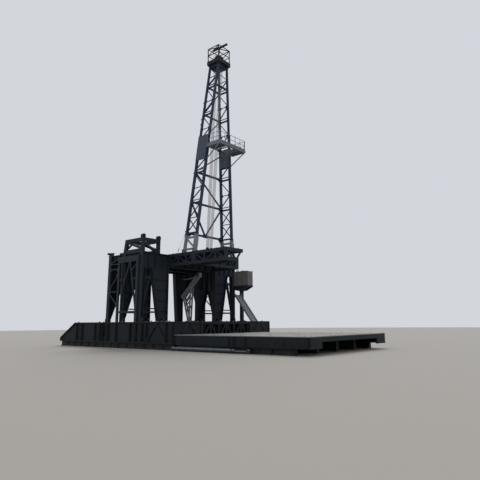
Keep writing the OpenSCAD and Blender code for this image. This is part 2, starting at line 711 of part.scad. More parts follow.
module mast_side_lower() {
  z = [for (k = [0:3]) z_foot + k * mast_step];
  mast_posts(z_foot, z_joint - clear, lower_post);
  side_crosses(z[0] + 200, z[1] + 40, 150, brace_size - 20);
  side_panel(z[1] + 90, z[2] + 40, 150, brace_size - 24);
  side_panel(z[2] + 90, z[3] - 60, 150, brace_size - 24);
  bar(corner(false, z_joint - 90), corner(true, z_joint - 90), 120, 120);
  for (k = [1, 2]) side_gusset((z[k] + z[k + 1]) / 2 + 60, 30);
}
module mast_side_upper() {
  z = [for (k = [3:5]) z_foot + k * mast_step];
  mast_posts(z_joint, z_top, upper_post);
  side_panel(z[0] + 150, z[1] + 40, 140, brace_size - 28);
  side_panel(z[1] + 90, z[2] + 40, 140, brace_size - 28);
  side_panel(z[2] + 90, z_top - 200, 140, brace_size - 28);
  bar(corner(false, z_top - 160), corner(true, z_top - 160), 100, 100);
  for (k = [0, 1]) side_gusset((z[k] + z[k + 1]) / 2 + 60, 26);
}
module mast_side_right_lower() color("#1e2a3c") side(-1) mast_side_lower();
module mast_side_left_lower() color("#1e2a3c") side(1) mast_side_lower();
module mast_side_right_upper() color("#1e2a3c") side(-1) mast_side_upper();
module mast_side_left_upper() color("#1e2a3c") side(1) mast_side_upper();

// cross beams and diagonals behind the mast; s = -1 is the right post
function back(s, z) = [mast_x(false, z), s * mast_y(z), z];
module back_beam(z, size) bar(back(-1, z), back(1, z), size, size);

// trims bars so that they end on the faces of the mast's posts
module clear_of_posts() difference() {
  children();
  both() {
    mast_posts(z_deck + 70, z_foot - clear, post_size, 2 * clear);
    mast_posts(z_foot, z_joint - clear, lower_post, 2 * clear);
    mast_posts(z_joint, z_top, upper_post, 2 * clear);
  }
}

// the right-hand ends of the diagonals sit low on their panel, the left-hand ones high
module mast_back_lower() color("#1e2a3c") rig() clear_of_posts() {
  z = [for (k = [0:3]) z_foot + k * mast_step + 260];
  for (k = [0:2]) back_beam(z[k], beam_size + 4 * k);
  // the V that stands on the middle of the lowest beam
  low = (back(-1, z[0]) + back(1, z[0])) / 2;
  bar(low, back(-1, z[1]), 140, 140);
  bar(low, back(1, z[1]), 132, 132);
  block(low - [56, 300, 150], low + [56, 300, 200]);
  bar(back(-1, z[2] - 60), back(1, z[1] + 60), 126, 126);
  bar(back(-1, z[2] + 60), back(1, z[3] - 660), 112, 112);
  // knees under the lowest beam
  for (s = [-1, 1]) bar(back(s, z[0] - 560), back(s, z[0]) - [0, s * 620, 0], 106, 106);
}

module mast_back_upper() color("#1e2a3c") rig() clear_of_posts() {
  z = [for (k = [3:6]) z_foot + k * mast_step + (k == 6 ? -620 : 260)];
  for (k = [0:3]) back_beam(z[k], beam_size * 0.85 - 3 * k);
  bar(back(-1, z[0] + 40), back(1, z[1] - 40), 100, 100);
  bar(back(-1, z[1] + 40), back(1, z[2] - 40), 94, 94);
  bar(back(-1, z[2] + 40), back(1, z[3] - 40), 88, 88);
}

// the ring beam and the top beam that close the front near the crown
function fore(s, z) = [mast_x(true, z), s * mast_y(z), z];
module mast_front_ties() color("#1e2a3c") rig() clear_of_posts()
  for (k = [[z_foot + 5 * mast_step + 260, 0.95], [z_crown - 620, 0.8]])
    bar(fore(-1, k[0]), fore(1, k[0]), beam_size * k[1], beam_size * k[1]);

// a sheet with upright ribs that shelters the board, outside one side of the mast
module wind_wall(z0, z1) {
  t = 30;
  rib = 50;
  out = [0, (lower_post + collar) / 2 + clear + rib / 2, 0];
  function at(f, z) = corner(false, z) * (1 - f) + corner(true, z) * f + out;
  for (f = [0, 0.333, 0.667, 1]) post(at(f, z0), at(f, z1), rib);
  // the sheet leans with the posts
  d = (at(0.5, z1) - at(0.5, z0)) / (z1 - z0);
  w = corner(true, z0)[0] - corner(false, z0)[0] + 2 * rib;
  translate(at(0.5, z0) + [0, rib / 2 - 5, 0])
    multmatrix([[1, 0, d[0], 0], [0, 1, d[1], 0], [0, 0, 1, 0], [0, 0, 0, 1]])
      translate([-w / 2, 0, 0]) cube([w, t, z1 - z0]);
}
module wind_walls() color("#59656f") rig() {
  mirror([0, 1, 0]) wind_wall(z_joint - 1900, z_joint + 880);
  wind_wall(z_joint - 1850, z_joint + 300);
}

// The racking board

board_x0 = mast_x(true, z_board) + post_size * 0.5 + 40;
board_x1 = mast_x(true, z_board) + board_reach;
slot_depth = board_reach * 0.62;
slot_width = board_width * 0.42;

module racking_board() color("#5c6267") rig() clear_of_posts() {
  h = 260;
  z = z_board - h;
  y = board_width / 2;
  difference() {
    union() {
      block([board_x0, -y, z_board - 45], [board_x1, y, z_board]);
      for (yy = [-y + 70, y - 70, -slot_width / 2 - 70, slot_width / 2 + 70])
        block([board_x0, yy - 70, z], [board_x1, yy + 70, z_board]);
      for (x = [board_x0 + 70, board_x1 - 70]) block([x - 70, -y, z], [x + 70, y, z_board]);
    }
    // the bay that the pipe stands in, open towards the mast
    block([board_x0 - 10, -slot_width / 2, z - 10], [board_x0 + slot_depth, slot_width / 2, z_board + 10]);
  }
  // the fingers that hold the pipe
  for (s = [-1, 1], k = [0:4]) {
    x = board_x0 + 140 + k * (slot_depth - 240) / 4;
    block([x - 30, min(s * slot_width / 2, s * 260), z_board - 130], [x + 30, max(s * slot_width / 2, s * 260), z_board - 70]);
  }
  // brackets back to the mast's front posts
  for (s = [-1, 1]) {
    yy = s * mast_y(z_board);
    block([mast_x(true, z_board - 130), yy - 80, z_board - 210], [board_x0 + 20, yy + 80, z_board - 50]);
    block([board_x0, min(yy, s * y) , z], [board_x0 + 140, max(yy, s * y), z_board]);
  }
}

module rail_run(p, q, n) {
  r = 24;
  for (i = [0:n]) rod(p + (q - p) * i / n, p + (q - p) * i / n + [0, 0, railing_height], r + 4, 8);
  for (h = [railing_height * 0.52, railing_height]) rod(p + [0, 0, h], q + [0, 0, h], r, 8);
}

module board_railing() color("#6b7175") rig() {
  z = z_board;
  y = board_width / 2 - 60;
  xa = board_x0 + 60;
  xb = board_x1 - 60;
  for (s = [-1, 1]) rail_run([xa, s * y, z], [xb - 80, s * y, z], 2);
  rail_run([xb, -y, z], [xb, y, z], 5);
}

// sloping struts from the board's front edge down to the mast's front posts
module board_struts() color("#4a5158") rig() clear_of_posts() both() {
  zl = z_board - 1500;
  a = corner(true, zl);
  b = [board_x1 - 250, board_width / 2 - 70, z_board - 260];
  rod(a, b - [0, 0, 50], 55, 10);
  block([b[0] - 90, b[1] - 65, b[2] - 90], [b[0] + 90, b[1] + 65, b[2] - clear]);
}

// The crown

crown_w = mast_top_width + 620;
crown_d = mast_top_depth + 520;
crown_x = (mast_x(false, z_crown) + mast_x(true, z_crown)) / 2;

z_walk = z_top + clear + 380;

// the crown's frame of beams on the four posts, with its walkway plate
module crown_platform() color("#23282e") rig() {
  z0 = z_top + clear;
  h = 330;
  for (s = [-1, 1]) block([crown_x - crown_d / 2, s * mast_top_width / 2 - 110, z0],
                          [crown_x + crown_d / 2, s * mast_top_width / 2 + 110, z0 + h]);
  for (x = [crown_x - mast_top_depth / 2, crown_x, crown_x + mast_top_depth / 2])
    block([x - 100, -crown_w / 2, z0 + 30], [x + 100, crown_w / 2, z0 + h]);
  difference() {
    block([crown_x - crown_d / 2, -crown_w / 2, z0 + h - eps], [crown_x + crown_d / 2, crown_w / 2, z0 + h + 50]);
    for (s = [-1, 1]) block([crown_x + s * 350 - 130, -355, z0 + h - 10], [crown_x + s * 350 + 130, 355, z0 + h + 60]);
  }
  for (k = [-1, 1]) block([crown_x + k * crown_d / 2 - 20, -crown_w / 2, z0 + h], [crown_x + k * crown_d / 2 + 20, crown_w / 2, z0 + h + 180]);
  for (k = [-1, 1]) block([crown_x - crown_d / 2, k * crown_w / 2 - 20, z0 + h], [crown_x + crown_d / 2, k * crown_w / 2 + 20, z0 + h + 180]);
}

sheave_r = 430;
z_sheave = z_crown + 480;
rope = 18;

// a cluster of rope sheaves on one shaft, between two bearing plates
module crown_sheaves() color("#2b3036") rig() translate([crown_x, 0, z_sheave]) {
  rotate([90, 0, 0]) translate([0, 0, -430]) cylinder(r = 85, h = 860);
  for (i = [-2:2]) translate([0, i * 130 + 45, 0]) rotate([90, 0, 0]) rotate_extrude($fn = 40)
    polygon([[60, 8], [sheave_r - 90, 14], [sheave_r, 4], [sheave_r, 20], [sheave_r - 40, 25],
             [sheave_r - 40, 65], [sheave_r, 70], [sheave_r, 86], [sheave_r - 90, 76], [60, 82]]);
  zf = z_walk + clear - z_sheave;
  for (s = [-1, 1]) difference() {
    union() {
      block([-260, s * 390 - 30, zf], [260, s * 390 + 30, 40]);
      translate([0, s * 390 + 30, 40]) rotate([90, 0, 0]) cylinder(r = 200, h = 60);
    }
    for (k = [-1, 1]) translate([k * 170, s * 390 + 60, zf + 140]) rotate([90, 0, 0]) cylinder(r = 60, h = 120);
  }
}

// the cage round the crown and the beam that lifts the sheaves
module crown_frame() color("#3b4148") rig() {
  z0 = z_walk + clear;
  z1 = z_crown + 1650;
  x0 = crown_x - crown_d / 2 + 70;
  x1 = crown_x + crown_d / 2 - 70;
  y = crown_w / 2 - 70;
  w = 80;
  for (x = [x0, x1], s = [-1, 1]) bar([x, s * y, z0], [x, s * y, z1], w, w);
  for (z = [z1, (z0 + z1) / 2]) {
    for (x = [x0, x1]) bar([x, -y - w / 2, z], [x, y + w / 2, z], w * 0.8, w * 0.8);
    for (s = [-1, 1]) bar([x0, s * y, z], [x1, s * y, z], w * 0.8, w * 0.8);
  }
  for (s = [-1, 1]) {
    bar([x0, s * y, (z0 + z1) / 2], [x1, s * y, z1], 60, 60);
    bar([x0, s * y, z1], [x0 + (x1 - x0) / 2, s * y * 0.2, z1 + 260], 70, 70);
    bar([x1, s * y, z1], [x0 + (x1 - x0) / 2, s * y * 0.2, z1 + 260], 70, 70);
  }
  block([crown_x - crown_d / 2, -90, z1 + 180], [crown_x + crown_d / 2 + 380, 90, z1 + 360]);
  block([crown_x - 90, -y * 0.25, z1 + 200], [crown_x + 90, y * 0.25, z1 + 320]);
}

// the travelling block is set down on the turntable, and the lines run up to the crown
z_table = z_deck + clear + 90;
block_x = x_mast;
block_r = 250;
block_z = z_table + 360;
line_r = block_r - 30;
line_step = 90;

module travelling_block() color("#2b3036") rig() {
  for (k = [-2:2]) translate([block_x, k * line_step + 42, block_z]) rotate([90, 0, 0]) rotate_extrude($fn = 40)
    polygon([[40, 0], [block_r, 0], [block_r, 12], [line_r, 20], [line_r, 64], [block_r, 72], [block_r, 84], [40, 84]]);
  translate([block_x, 320, block_z]) rotate([90, 0, 0]) cylinder(r = 60, h = 640);
  for (s = [-1, 1]) {
    y = s * 268;
    block([block_x - 300, y - 28, z_table + clear], [block_x + 300, y + 28, block_z + 150]);
    translate([block_x, y + 22, block_z + 150]) rotate([90, 0, 0]) cylinder(r = 240, h = 44);
  }
}

module drilling_lines() color("#55595c") rig() for (k = [-2:2], s = [-1, 1])
  post([block_x + s * (line_r + rope + clear), k * line_step, block_z],
       [crown_x + s * (sheave_r - 40 + rope + clear), k * 130, z_sheave], 2 * rope);

// The front platform

plat_y1 = -y_out + platform_width;
edge_w = 160;

module platform_frame() color("#353c42") rig() {
  z1 = z_plat - 50;
  z0 = z_plat - platform_depth;
  x0 = x_plat;
  x1 = x_front_edge();
  y0 = -y_out;
  y1 = plat_y1;
  shallow = 330;
  corner_w = 1500;
  // the long girders of the two sides
  for (s = [-1, 1]) {
    y = s < 0 ? y0 + edge_w / 2 : y1 - edge_w / 2;
    block([x0, y - 30, z0], [x1, y + 30, z1]);
    for (z = [z0, z1 - 60]) block([x0, y - edge_w / 2, z], [x1, y + edge_w / 2, z + 60]);
    for (i = [0:8]) {
      x = x0 + 60 + i * (x1 - x0 - 120) / 8;
      block([x - 30, y - edge_w / 2 + 10, z0], [x + 30, y + edge_w / 2 - 10, z1]);
    }
    // doubled plates where the two halves join
    for (x = [x0 + platform_length * 0.478, x0 + platform_length * 0.57])
      block([x - 130, y - edge_w / 2, z0], [x + 130, y + edge_w / 2, z1]);
  }
  ya = y0 + edge_w + clear;
  yb = y1 - edge_w - clear;
  // the rear girder, with the tongues that pin it to the base boxes
  block([x0, ya, z0], [x0 + edge_w, yb, z1]);
  for (s = [-1, 1]) block([x_base + clear, s * (y_in + 210) - 90, z0 + 150], [x0 + 20, s * (y_in + 210) + 90, z0 + 450]);
  // the front edge is deep at both corners and shallow between them
  block([x1 - edge_w, ya + corner_w + clear, z1 - shallow], [x1, yb - corner_w - clear, z1]);
  for (y = [ya, yb - corner_w]) block([x1 - edge_w, y, z0], [x1, y + corner_w, z1]);
  // inner beams both ways
  xa = x0 + edge_w + clear;
  xb = x1 - edge_w - clear;
  for (i = [1:4]) {
    x = x0 + i * (x1 - x0) / 5;
    block([x - 90, ya, z1 - 400], [x + 90, yb, z1]);
    y = y0 + i * (y1 - y0) / 5;
    block([xa, y - 90, z1 - 300], [xb, y + 90, z1]);
  }
}
function x_front_edge() = x_plat + platform_length;

module platform_deck() color("#8d8c88") rig()
  block([x_plat - 20, -y_out - 20, z_plat - 50], [x_front_edge(), plat_y1 + 20, z_plat]);

// runners under the platform, along X, set back from its edges; the inner ones are taller
module platform_skids() color("#2f353b") rig() {
  n = 4;
  x0 = x_plat + 300;
  x1 = x_front_edge() - 1300;
  for (i = [0:n]) {
    y = -y_out + 260 + i * (platform_width - 520) / n;
    outer = i == 0 || i == n;
    z1 = (outer ? z_plat - platform_depth : z_plat - 50 - 400) - clear;
    yo = outer ? (i == 0 ? 40 : -40) : 0;
    block([x0, y - 60, 0], [x1, y + 60, z1]);
    for (z = [0, z1 - 50]) block([x0, y - 220 + yo, z], [x1, y + 220 + yo, z + 50]);
    for (k = [0:6]) {
      x = x0 + 30 + k * (x1 - x0 - 60) / 6;
      block([x - 20, y - 200 + yo, 0], [x + 20, y + 200 + yo, z1]);
    }
  }
}

// two raising struts lie on the ground along the platform's right side
module spare_struts() color("#6a747c") rig() {
  y = -y_out - strut_gap - strut_eye;
  z = strut_eye;
  x0 = x_plat - 200;
  x1 = x0 + 8300;
  difference() {
    union() {
      rod([x0 + 200, y, z], [x1 - 1300, y, z], strut_radius, 32);
      rod([x1 - 1400, y, z], [x1 - 100, y, z], strut_radius * 0.62, 32);
      for (x = [x0 + 170, x1 - 1500, x1]) translate([x, y - 80, z]) rotate([-90, 0, 0]) cylinder(r = strut_eye, h = 160);
      for (x = [x0 + 420, x0 + 2900, x1 - 1720]) rod([x, y, z], [x + 120, y, z], strut_radius + 22, 32);
    }
    for (x = [x0 + 170, x1 - 1500, x1]) translate([x, y - 90, z]) rotate([-90, 0, 0]) cylinder(r = 80, h = 180);
  }
}

// The things on the base

// the slide from the bar on the tank's stand down to the top of the base
ramp_y = y_in + 1700;
ramp_top = z_base + 2750;
module access_ramp() color("#7d848a") rig() {
  w = 1000;
  top = [tank_x0 + 830 + clear, 0, ramp_top];
  foot = [x_base - 680, 0, z_base];
  translate([0, ramp_y + w / 2, 0]) rotate([90, 0, 0]) {
    linear_extrude(w) polygon([[top[0], top[2]], [top[0], top[2] - 80], [foot[0] - 50, foot[2]], [foot[0], foot[2]]]);
    for (k = [0, w - 50]) translate([0, 0, k]) linear_extrude(50) polygon([
      [top[0], top[2] + 190], [top[0], top[2] - 140], [foot[0] - 100, foot[2]], [foot[0] + 110, foot[2]]]);
  }
  for (i = [1:8]) {
    p = top + (foot - top) * i / 9;
    block([p[0] - 45, ramp_y - w / 2 + 10, p[2] + 5], [p[0] + 15, ramp_y + w / 2 - 10, p[2] + 75]);
  }
}

tank_x0 = x_pf + 1230;
tank_x1 = tank_x0 + 1980;
tank_y0 = y_out - 1530;
tank_y1 = y_out - 630;
tank_z = z_base + 3860;

module water_tank() color("#7c7a72") rig() {
  block([tank_x0, tank_y0, tank_z], [tank_x1, tank_y1, tank_z + 1540]);
  translate([(tank_x0 + tank_x1) / 2, (tank_y0 + tank_y1) / 2, tank_z + 1540 - eps]) cylinder(r = 260, h = 60);
  for (k = [0, 1, 2, 3]) {
    x = tank_x0 + 60 + k * (tank_x1 - tank_x0 - 120) / 3;
    for (y = [tank_y0 - 35, tank_y1]) block([x - 30, y, tank_z], [x + 30, y + 35, tank_z + 1540]);
  }
  for (k = [0, 1, 2]) {
    y = tank_y0 + 60 + k * (tank_y1 - tank_y0 - 120) / 2;
    block([tank_x1, y - 30, tank_z], [tank_x1 + 35, y + 30, tank_z + 1480]);
  }
  block([tank_x0 - 30, tank_y0 - 35, tank_z + 1480], [tank_x1 + 40, tank_y0 + 5, tank_z + 1560]);
  block([tank_x0 - 30, tank_y1 - 5, tank_z + 1480], [tank_x1 + 40, tank_y1 + 35, tank_z + 1560]);
}

module tank_stand() color("#22304a") rig() {
  xm = tank_x0 + 770;
  ym = (tank_y0 + tank_y1) / 2;
  z = tank_z - clear;
  // two deep brackets that taper to the front, and the beams across them
  for (y = [tank_y0 + 90, tank_y1 - 90]) translate([0, y + 60, 0]) rotate([90, 0, 0]) linear_extrude(120)
    polygon([[tank_x0 - 60, z], [tank_x0 - 60, z - 450], [xm - 250, z - 560], [xm + 420, z - 560], [tank_x1 + 60, z - 160], [tank_x1 + 60, z]]);
  for (x = [tank_x0 + 120, tank_x1 - 120]) block([x - 60, tank_y0 + 60, z - 170], [x + 60, tank_y1 - 60, z]);
  block([xm - 170, tank_y0 + 60, z - 540], [xm + 170, tank_y1 - 60, z - 20]);
  block([xm - 160, ym - 160, z_base], [xm + 160, ym + 160, z - 170]);
  block([xm - 360, ym - 360, z_base], [xm + 360, ym + 360, z_base + 50]);
  for (k = [-1, 1]) bar([xm, ym + k * 120, z - 1000], [xm, ym + k * 330, z - 500], 110, 110);
  // the bar that the slide hangs from, and the tie to the outer leg of the left front portal
  block([xm - 60, ramp_y - 620, ramp_top - 60], [xm + 60, ym, ramp_top + 60]);
  xt = x_pf + flange_width / 2 + clear;
  yt = leg_out(open_front, ramp_top) + 30;
  block([xt, yt - 110, ramp_top - 100], [xt + 50, yt + 110, ramp_top + 100]);
  bar([xt + 25, yt, ramp_top], [xm, ym, ramp_top], 108, 130);
}

// the pale arm that swings the mast up, parked between the legs
module raising_strut() color("#8b9298") rig() {
  top = [x_pf + 1120, 0, z_base + 4720];
  knee = [x_pf - 1150, 0, z_base + 2600];
  foot_x = x_pf - 230;
  high = [x_pf + 60, 0, z_base + 3660];
  bar(top, knee, 330, 400);
  for (s = [-1, 1]) {
    bar(knee + [60, s * 150, 60], [foot_x - 60, s * 150, z_base + 60], 110, 150);
    bar([foot_x + 60, s * 150, z_base + 60], high + [0, s * 150, 0], 104, 150);
  }
  // the ties of the two legs
  for (f = [0.38, 0.62, 0.8]) {
    a = knee * f + [foot_x - 60, 0, z_base + 60] * (1 - f);
    b = high * f + [foot_x + 60, 0, z_base + 60] * (1 - f);
    for (s = [-1, 1]) bar(a + [0, s * 150, 0], b + [0, s * 150, 260], 92, 90);
    block([a[0] - 42, -170, a[2] - 40], [a[0] + 42, 170, a[2] + 40]);
  }
  block([foot_x - 280, -330, z_base], [foot_x + 280, 330, z_base + 100]);
  block(knee - [190, 210, 190], knee + [190, 210, 190]);
  // the head of the arm with its pin, and the bent pipe behind it
  block(top - [200, 190, 240], top + [170, 190, 210]);
  translate(top + [0, 260, 0]) rotate([90, 0, 0]) cylinder(r = 130, h = 520);
  rod(top + [-60, 0, -40], top + [-1000, 0, -300], 85, 16);
  rod(top + [-960, 0, -290], top + [-2350, 0, -330], 75, 16);
}

base_box_right();
base_box_left();
base_skids();
foot_shoes();
base_front_truss();
base_cross_beams();
portal_front_right();
portal_front_left();
portal_middle_right();
portal_middle_left();
portal_rear_right();
portal_rear_left();
leg_ties();
side_lattice_right();
side_lattice_left();
side_tops();
rear_stubs();
raising_gantry_right();
raising_gantry_left();
cross_girders();
floor_truss_right();
floor_truss_left();
floor_end_trusses();
floor_wing();
floor_beams();
floor_deck();
rotary_table();
mast_feet();
mast_side_right_lower();
mast_side_left_lower();
mast_side_right_upper();
mast_side_left_upper();
mast_back_lower();
mast_back_upper();
mast_front_ties();
wind_walls();
racking_board();
board_railing();
board_struts();
crown_platform();
crown_sheaves();
crown_frame();
travelling_block();
drilling_lines();
platform_frame();
platform_deck();
platform_skids();
spare_struts();
access_ramp();
water_tank();
tank_stand();
raising_strut();
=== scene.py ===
"""The looks of a land drilling rig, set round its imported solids.

Everything is in metres. The rig faces +X, its right side is -Y and the ground is z = 0.
Points below are in the rig's own frame, whose middle plane is y = 0 until a piece is made.
"""
import json
import math

import bpy
import numpy as np
from mathutils import Matrix, Vector


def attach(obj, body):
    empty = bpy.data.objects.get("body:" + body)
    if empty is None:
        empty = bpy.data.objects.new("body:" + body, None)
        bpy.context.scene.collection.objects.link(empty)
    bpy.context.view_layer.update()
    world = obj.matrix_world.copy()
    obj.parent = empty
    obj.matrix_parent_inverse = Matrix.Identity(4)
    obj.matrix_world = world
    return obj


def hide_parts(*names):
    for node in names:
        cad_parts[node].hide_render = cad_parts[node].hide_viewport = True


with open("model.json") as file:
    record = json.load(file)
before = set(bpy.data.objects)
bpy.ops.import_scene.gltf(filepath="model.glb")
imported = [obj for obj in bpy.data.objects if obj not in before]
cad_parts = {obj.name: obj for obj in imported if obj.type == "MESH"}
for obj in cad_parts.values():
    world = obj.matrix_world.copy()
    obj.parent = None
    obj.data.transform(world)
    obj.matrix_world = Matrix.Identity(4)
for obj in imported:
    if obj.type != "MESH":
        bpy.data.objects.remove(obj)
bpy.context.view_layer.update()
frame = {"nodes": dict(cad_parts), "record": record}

# ---------------------------------------------------------------- camera

EYE = Vector((32.98, -34.84, 2.27))        # at a person's eye height on a low step
HEADING = math.radians(39.5)               # turned from +Y towards -X
PITCH = math.radians(13.0)
ROLL = math.radians(-0.44)
FOCAL_PX, FRAME_PX = 470.0, 480.0          # focal length and picture side
SHIFT_PX = (-0.5, -26.0)                   # the optical middle's place in the picture


def new_object(name, data):
    """A new object of the data, in the scene."""
    made = bpy.data.objects.new(name, data)
    bpy.context.scene.collection.objects.link(made)
    return made


def aim_camera():
    """Makes the camera: its axes are right, up and back, from its heading, pitch and roll."""
    right = Vector((math.cos(HEADING), math.sin(HEADING), 0))
    ahead = Vector((-math.sin(HEADING) * math.cos(PITCH),
                    math.cos(HEADING) * math.cos(PITCH), math.sin(PITCH)))
    up = right.cross(ahead)
    rolled_right = right * math.cos(ROLL) + up * math.sin(ROLL)
    rolled_up = up * math.cos(ROLL) - right * math.sin(ROLL)
    turn = Matrix((rolled_right, rolled_up, -ahead)).transposed().to_4x4()
    data = bpy.data.cameras.new("photo_view")
    data.sensor_width = 36.0
    data.lens = data.sensor_width * FOCAL_PX / FRAME_PX
    data.shift_x = SHIFT_PX[0] / FRAME_PX
    data.shift_y = SHIFT_PX[1] / FRAME_PX
    data.clip_end = 400.0
    camera = new_object("photo_view", data)
    camera.matrix_world = Matrix.Translation(EYE) @ turn
    bpy.context.scene.camera = camera


aim_camera()

# ---------------------------------------------------------------- the rig's sizes

AHEAD, LEFT, UP = np.eye(3)
BACK, RIGHT, DOWN = -np.eye(3)
MIDDLE = 0.19                    # the rig's middle plane lies this far to the left
BASE_FRONT, BASE_TOP = 2.33, 2.4
PANEL_LOW, PANEL_HIGH = 0.6, 2.28            # the panels between the ribs of a base box
BASE_MIDDLE = (PANEL_LOW + PANEL_HIGH) / 2
OUTSIDE, INSIDE = 6.9, 3.4       # faces of a base box, out from the middle plane
PANELS = np.array([OUTSIDE - 0.11, INSIDE + 0.11])     # outer faces of those panels
RIBS = BASE_FRONT - np.array([0.19, 1.07, 3.7, 4.33, 5.2, 6.08, 8.23, 9.5, 9.68, 10.34, 10.84,
                              11.7, 14.04, 14.97])     # behind the front end
PORTALS = (-2.61, -5.26, -7.55)  # x of the front, middle and rear portals
FOOT_PINS = ((3.975, 6.61), (3.728, 6.64), (6.64,))    # of each portal, out from the middle
PIN_HEIGHT, PIN_REACH = 2.65, 0.345          # and how far a pin reaches from its web
DECK = 9.0
FLOOR_REAR, FLOOR_FRONT, FLOOR_SIDE = -7.785, 0.99, 3.3997
WING_FRONT, WING_LEFT = 5.19, -0.9997
CHORD_FACE, CHORDS = 3.3447, (8.62, 8.1)     # the floor trusses' outer face, and two heights
GANTRY_POSTS, GANTRY_HEADS = (4.6997, 6.5997), 10.5    # out from the middle, and up
WELL = -0.135                    # x of the turntable's middle, and of the mast's at the deck
FOOT_TOP, JOINT, MAST_TOP, CROWN = 10.8, 20.6, 29.98, 30.4   # heights on the mast
MAST_RISE, MAST_LEAN = 21.4, 1.265           # from the deck to the crown: up, and forward
DEPTH, DEPTH_TAPER = 1.43, 0.25  # from a front post to a rear one, at the deck and lost above
SPREAD, SPREAD_TAPER = 5.64, 4.34            # from side to side, in the same way
BOARD = 20.2                     # top of the racking board
PLATFORM = (2.48, 15.73, -6.9, 5.55, 1.29)   # rear, front, right, left, top
PLATFORM_MIDDLE = 0.85           # middle height of its sides
STAND = np.array([-0.61, 5.82])  # the middle of the tank's stand
STRUT_FOOT = np.array([2.28, -7.11, 0.17])   # ends of the axis of the near loose strut
STRUT_LENGTH = 8.3
STRUT_HEAD = STRUT_FOOT + STRUT_LENGTH * AHEAD
SLIDE_WIDTH = 1.0
GUARD_RADIUS, GUARD_SIDE = 0.47, 0.4         # of the guards over the crown's sheaves


def post(front, z):
    """The middle of a mast post at a height: x and the distance from the middle plane."""
    rise = (np.asarray(z, float) - DECK) / MAST_RISE
    half_depth = (DEPTH - DEPTH_TAPER * rise) / 2
    return (WELL + MAST_LEAN * rise + (half_depth if front else -half_depth),
            (SPREAD - SPREAD_TAPER * rise) / 2)


def post_point(front, z, aside=0.0, behind=0.0):
    """Points beside a left post: out from its middle by aside, and to the rear by behind."""
    x, y = post(front, z)
    return np.stack(np.broadcast_arrays(x - behind, y + aside, z), -1)


def side_middle(z, aside=0.0):
    """The point halfway between the front and rear post of the left side, out by aside."""
    return (post_point(False, z, aside) + post_point(True, z, aside)) / 2


def side_depth(z):
    """The distance between the middles of a front and a rear post at a height."""
    return post(True, z)[0] - post(False, z)[0]


def post_half(z):
    """Half the width of a mast post; those of the upper section are slimmer."""
    return np.where(z > JOINT, 0.1, 0.115)


# ---------------------------------------------------------------- shapes

CORNER_POINTS = 6                # on each rounded corner


def unit(v):
    """The vectors at length one."""
    v = np.asarray(v, float)
    return v / np.linalg.norm(v, axis=-1, keepdims=True)


def placed(at, *given):
    """Places as rows, and for each row the given directions at length one."""
    at = np.atleast_2d(np.asarray(at, float))
    return at, *(unit(np.broadcast_to(np.asarray(d, float), at.shape)) for d in given)


def square_to(along, near=UP):
    """Three directions for each row: across = near x along, beyond = along x across, and along."""
    along = unit(np.atleast_2d(along))
    near = np.broadcast_to(unit(near), along.shape).copy()
    near[np.abs((along * near).sum(1)) > 0.97] = AHEAD
    across = unit(np.cross(near, along))
    return across, np.cross(along, across), along


def laid(across, beyond, section):
    """The points a_j across + b_j beyond of a section, for each row of directions."""
    return across[:, None] * section[:, :1] + beyond[:, None] * section[:, 1:]


def skin(points, loop=False):
    """Skins n rows of k rings of m points.

    Ring i is joined to ring i + 1 by quads. A flat face closes either end, or, with loop, the
    last ring is joined to the first.
    """
    n, k, m = points.shape[:3]
    first = np.arange(n)[:, None, None] * k * m
    i = np.arange(k if loop else k - 1)[None, :, None]
    j = np.arange(m)[None, None, :]
    here, there, step = i * m, (i + 1) % k * m, (j + 1) % m
    faces = [np.stack([first + here + j, first + here + step,
                       first + there + step, first + there + j], -1).reshape(-1, 4)]
    if not loop:
        faces += [first[:, 0] + np.arange(m)[::-1], first[:, 0] + (k - 1) * m + np.arange(m)]
    return points.reshape(-1, 3), faces


def turned(at, along, outline, sides, loop=False):
    """Turned pieces, from an outline of [height, radius] points.

    Point (i, j) = place + height_i along + radius_i (cos t_j across + sin t_j beyond), with
    t_j = 2 pi j / sides. A loop is an outline that comes back to its start, as on a ring.
    """
    at, along = placed(at, along)
    across, beyond, _ = square_to(along)
    ring = laid(across, beyond, round_bar(1, sides))[:, None]
    height, radius = np.asarray(outline, float).T[:, :, None, None]
    return skin(at[:, None, None] + height * along[:, None, None] + radius * ring, loop)


def flat_bar(width, depth, corner=0.004):
    """A rectangle with cut corners, as [across, beyond] points anticlockwise."""
    a, b, c = width / 2, depth / 2, min(corner, width / 4, depth / 4)
    return np.array([[a, c - b], [a, b - c], [a - c, b], [c - a, b], [-a, b - c], [-a, c - b],
                     [c - a, -b], [a - c, -b]])


def round_bar(radius, sides):
    """A circle as [across, beyond] points anticlockwise."""
    t = 2 * np.pi * np.arange(sides) / sides
    return radius * np.stack([np.cos(t), np.sin(t)], 1)


def rounded_plate(width, height, radius):
    """A rectangle with round corners, as [across, beyond] points anticlockwise.

    Corner k is middle_k + radius (cos t, sin t), with t from 90 k to 90 (k + 1) degrees.
    """
    k = np.repeat(np.arange(4), CORNER_POINTS)
    t = np.pi / 2 * (k + np.tile(np.linspace(0, 1, CORNER_POINTS), 4))
    a = np.where((k == 0) | (k == 3), 1, -1) * (width / 2 - radius)
    b = np.where(k < 2, 1, -1) * (height / 2 - radius)
    return np.stack([a + radius * np.cos(t), b + radius * np.sin(t)], 1)


def angle_bar(leg, thick):
    """An L of two equal legs, as [across, beyond] points anticlockwise."""
    return np.array([[0, 0], [leg, 0], [leg, thick], [thick, thick], [thick, leg], [0, leg]])


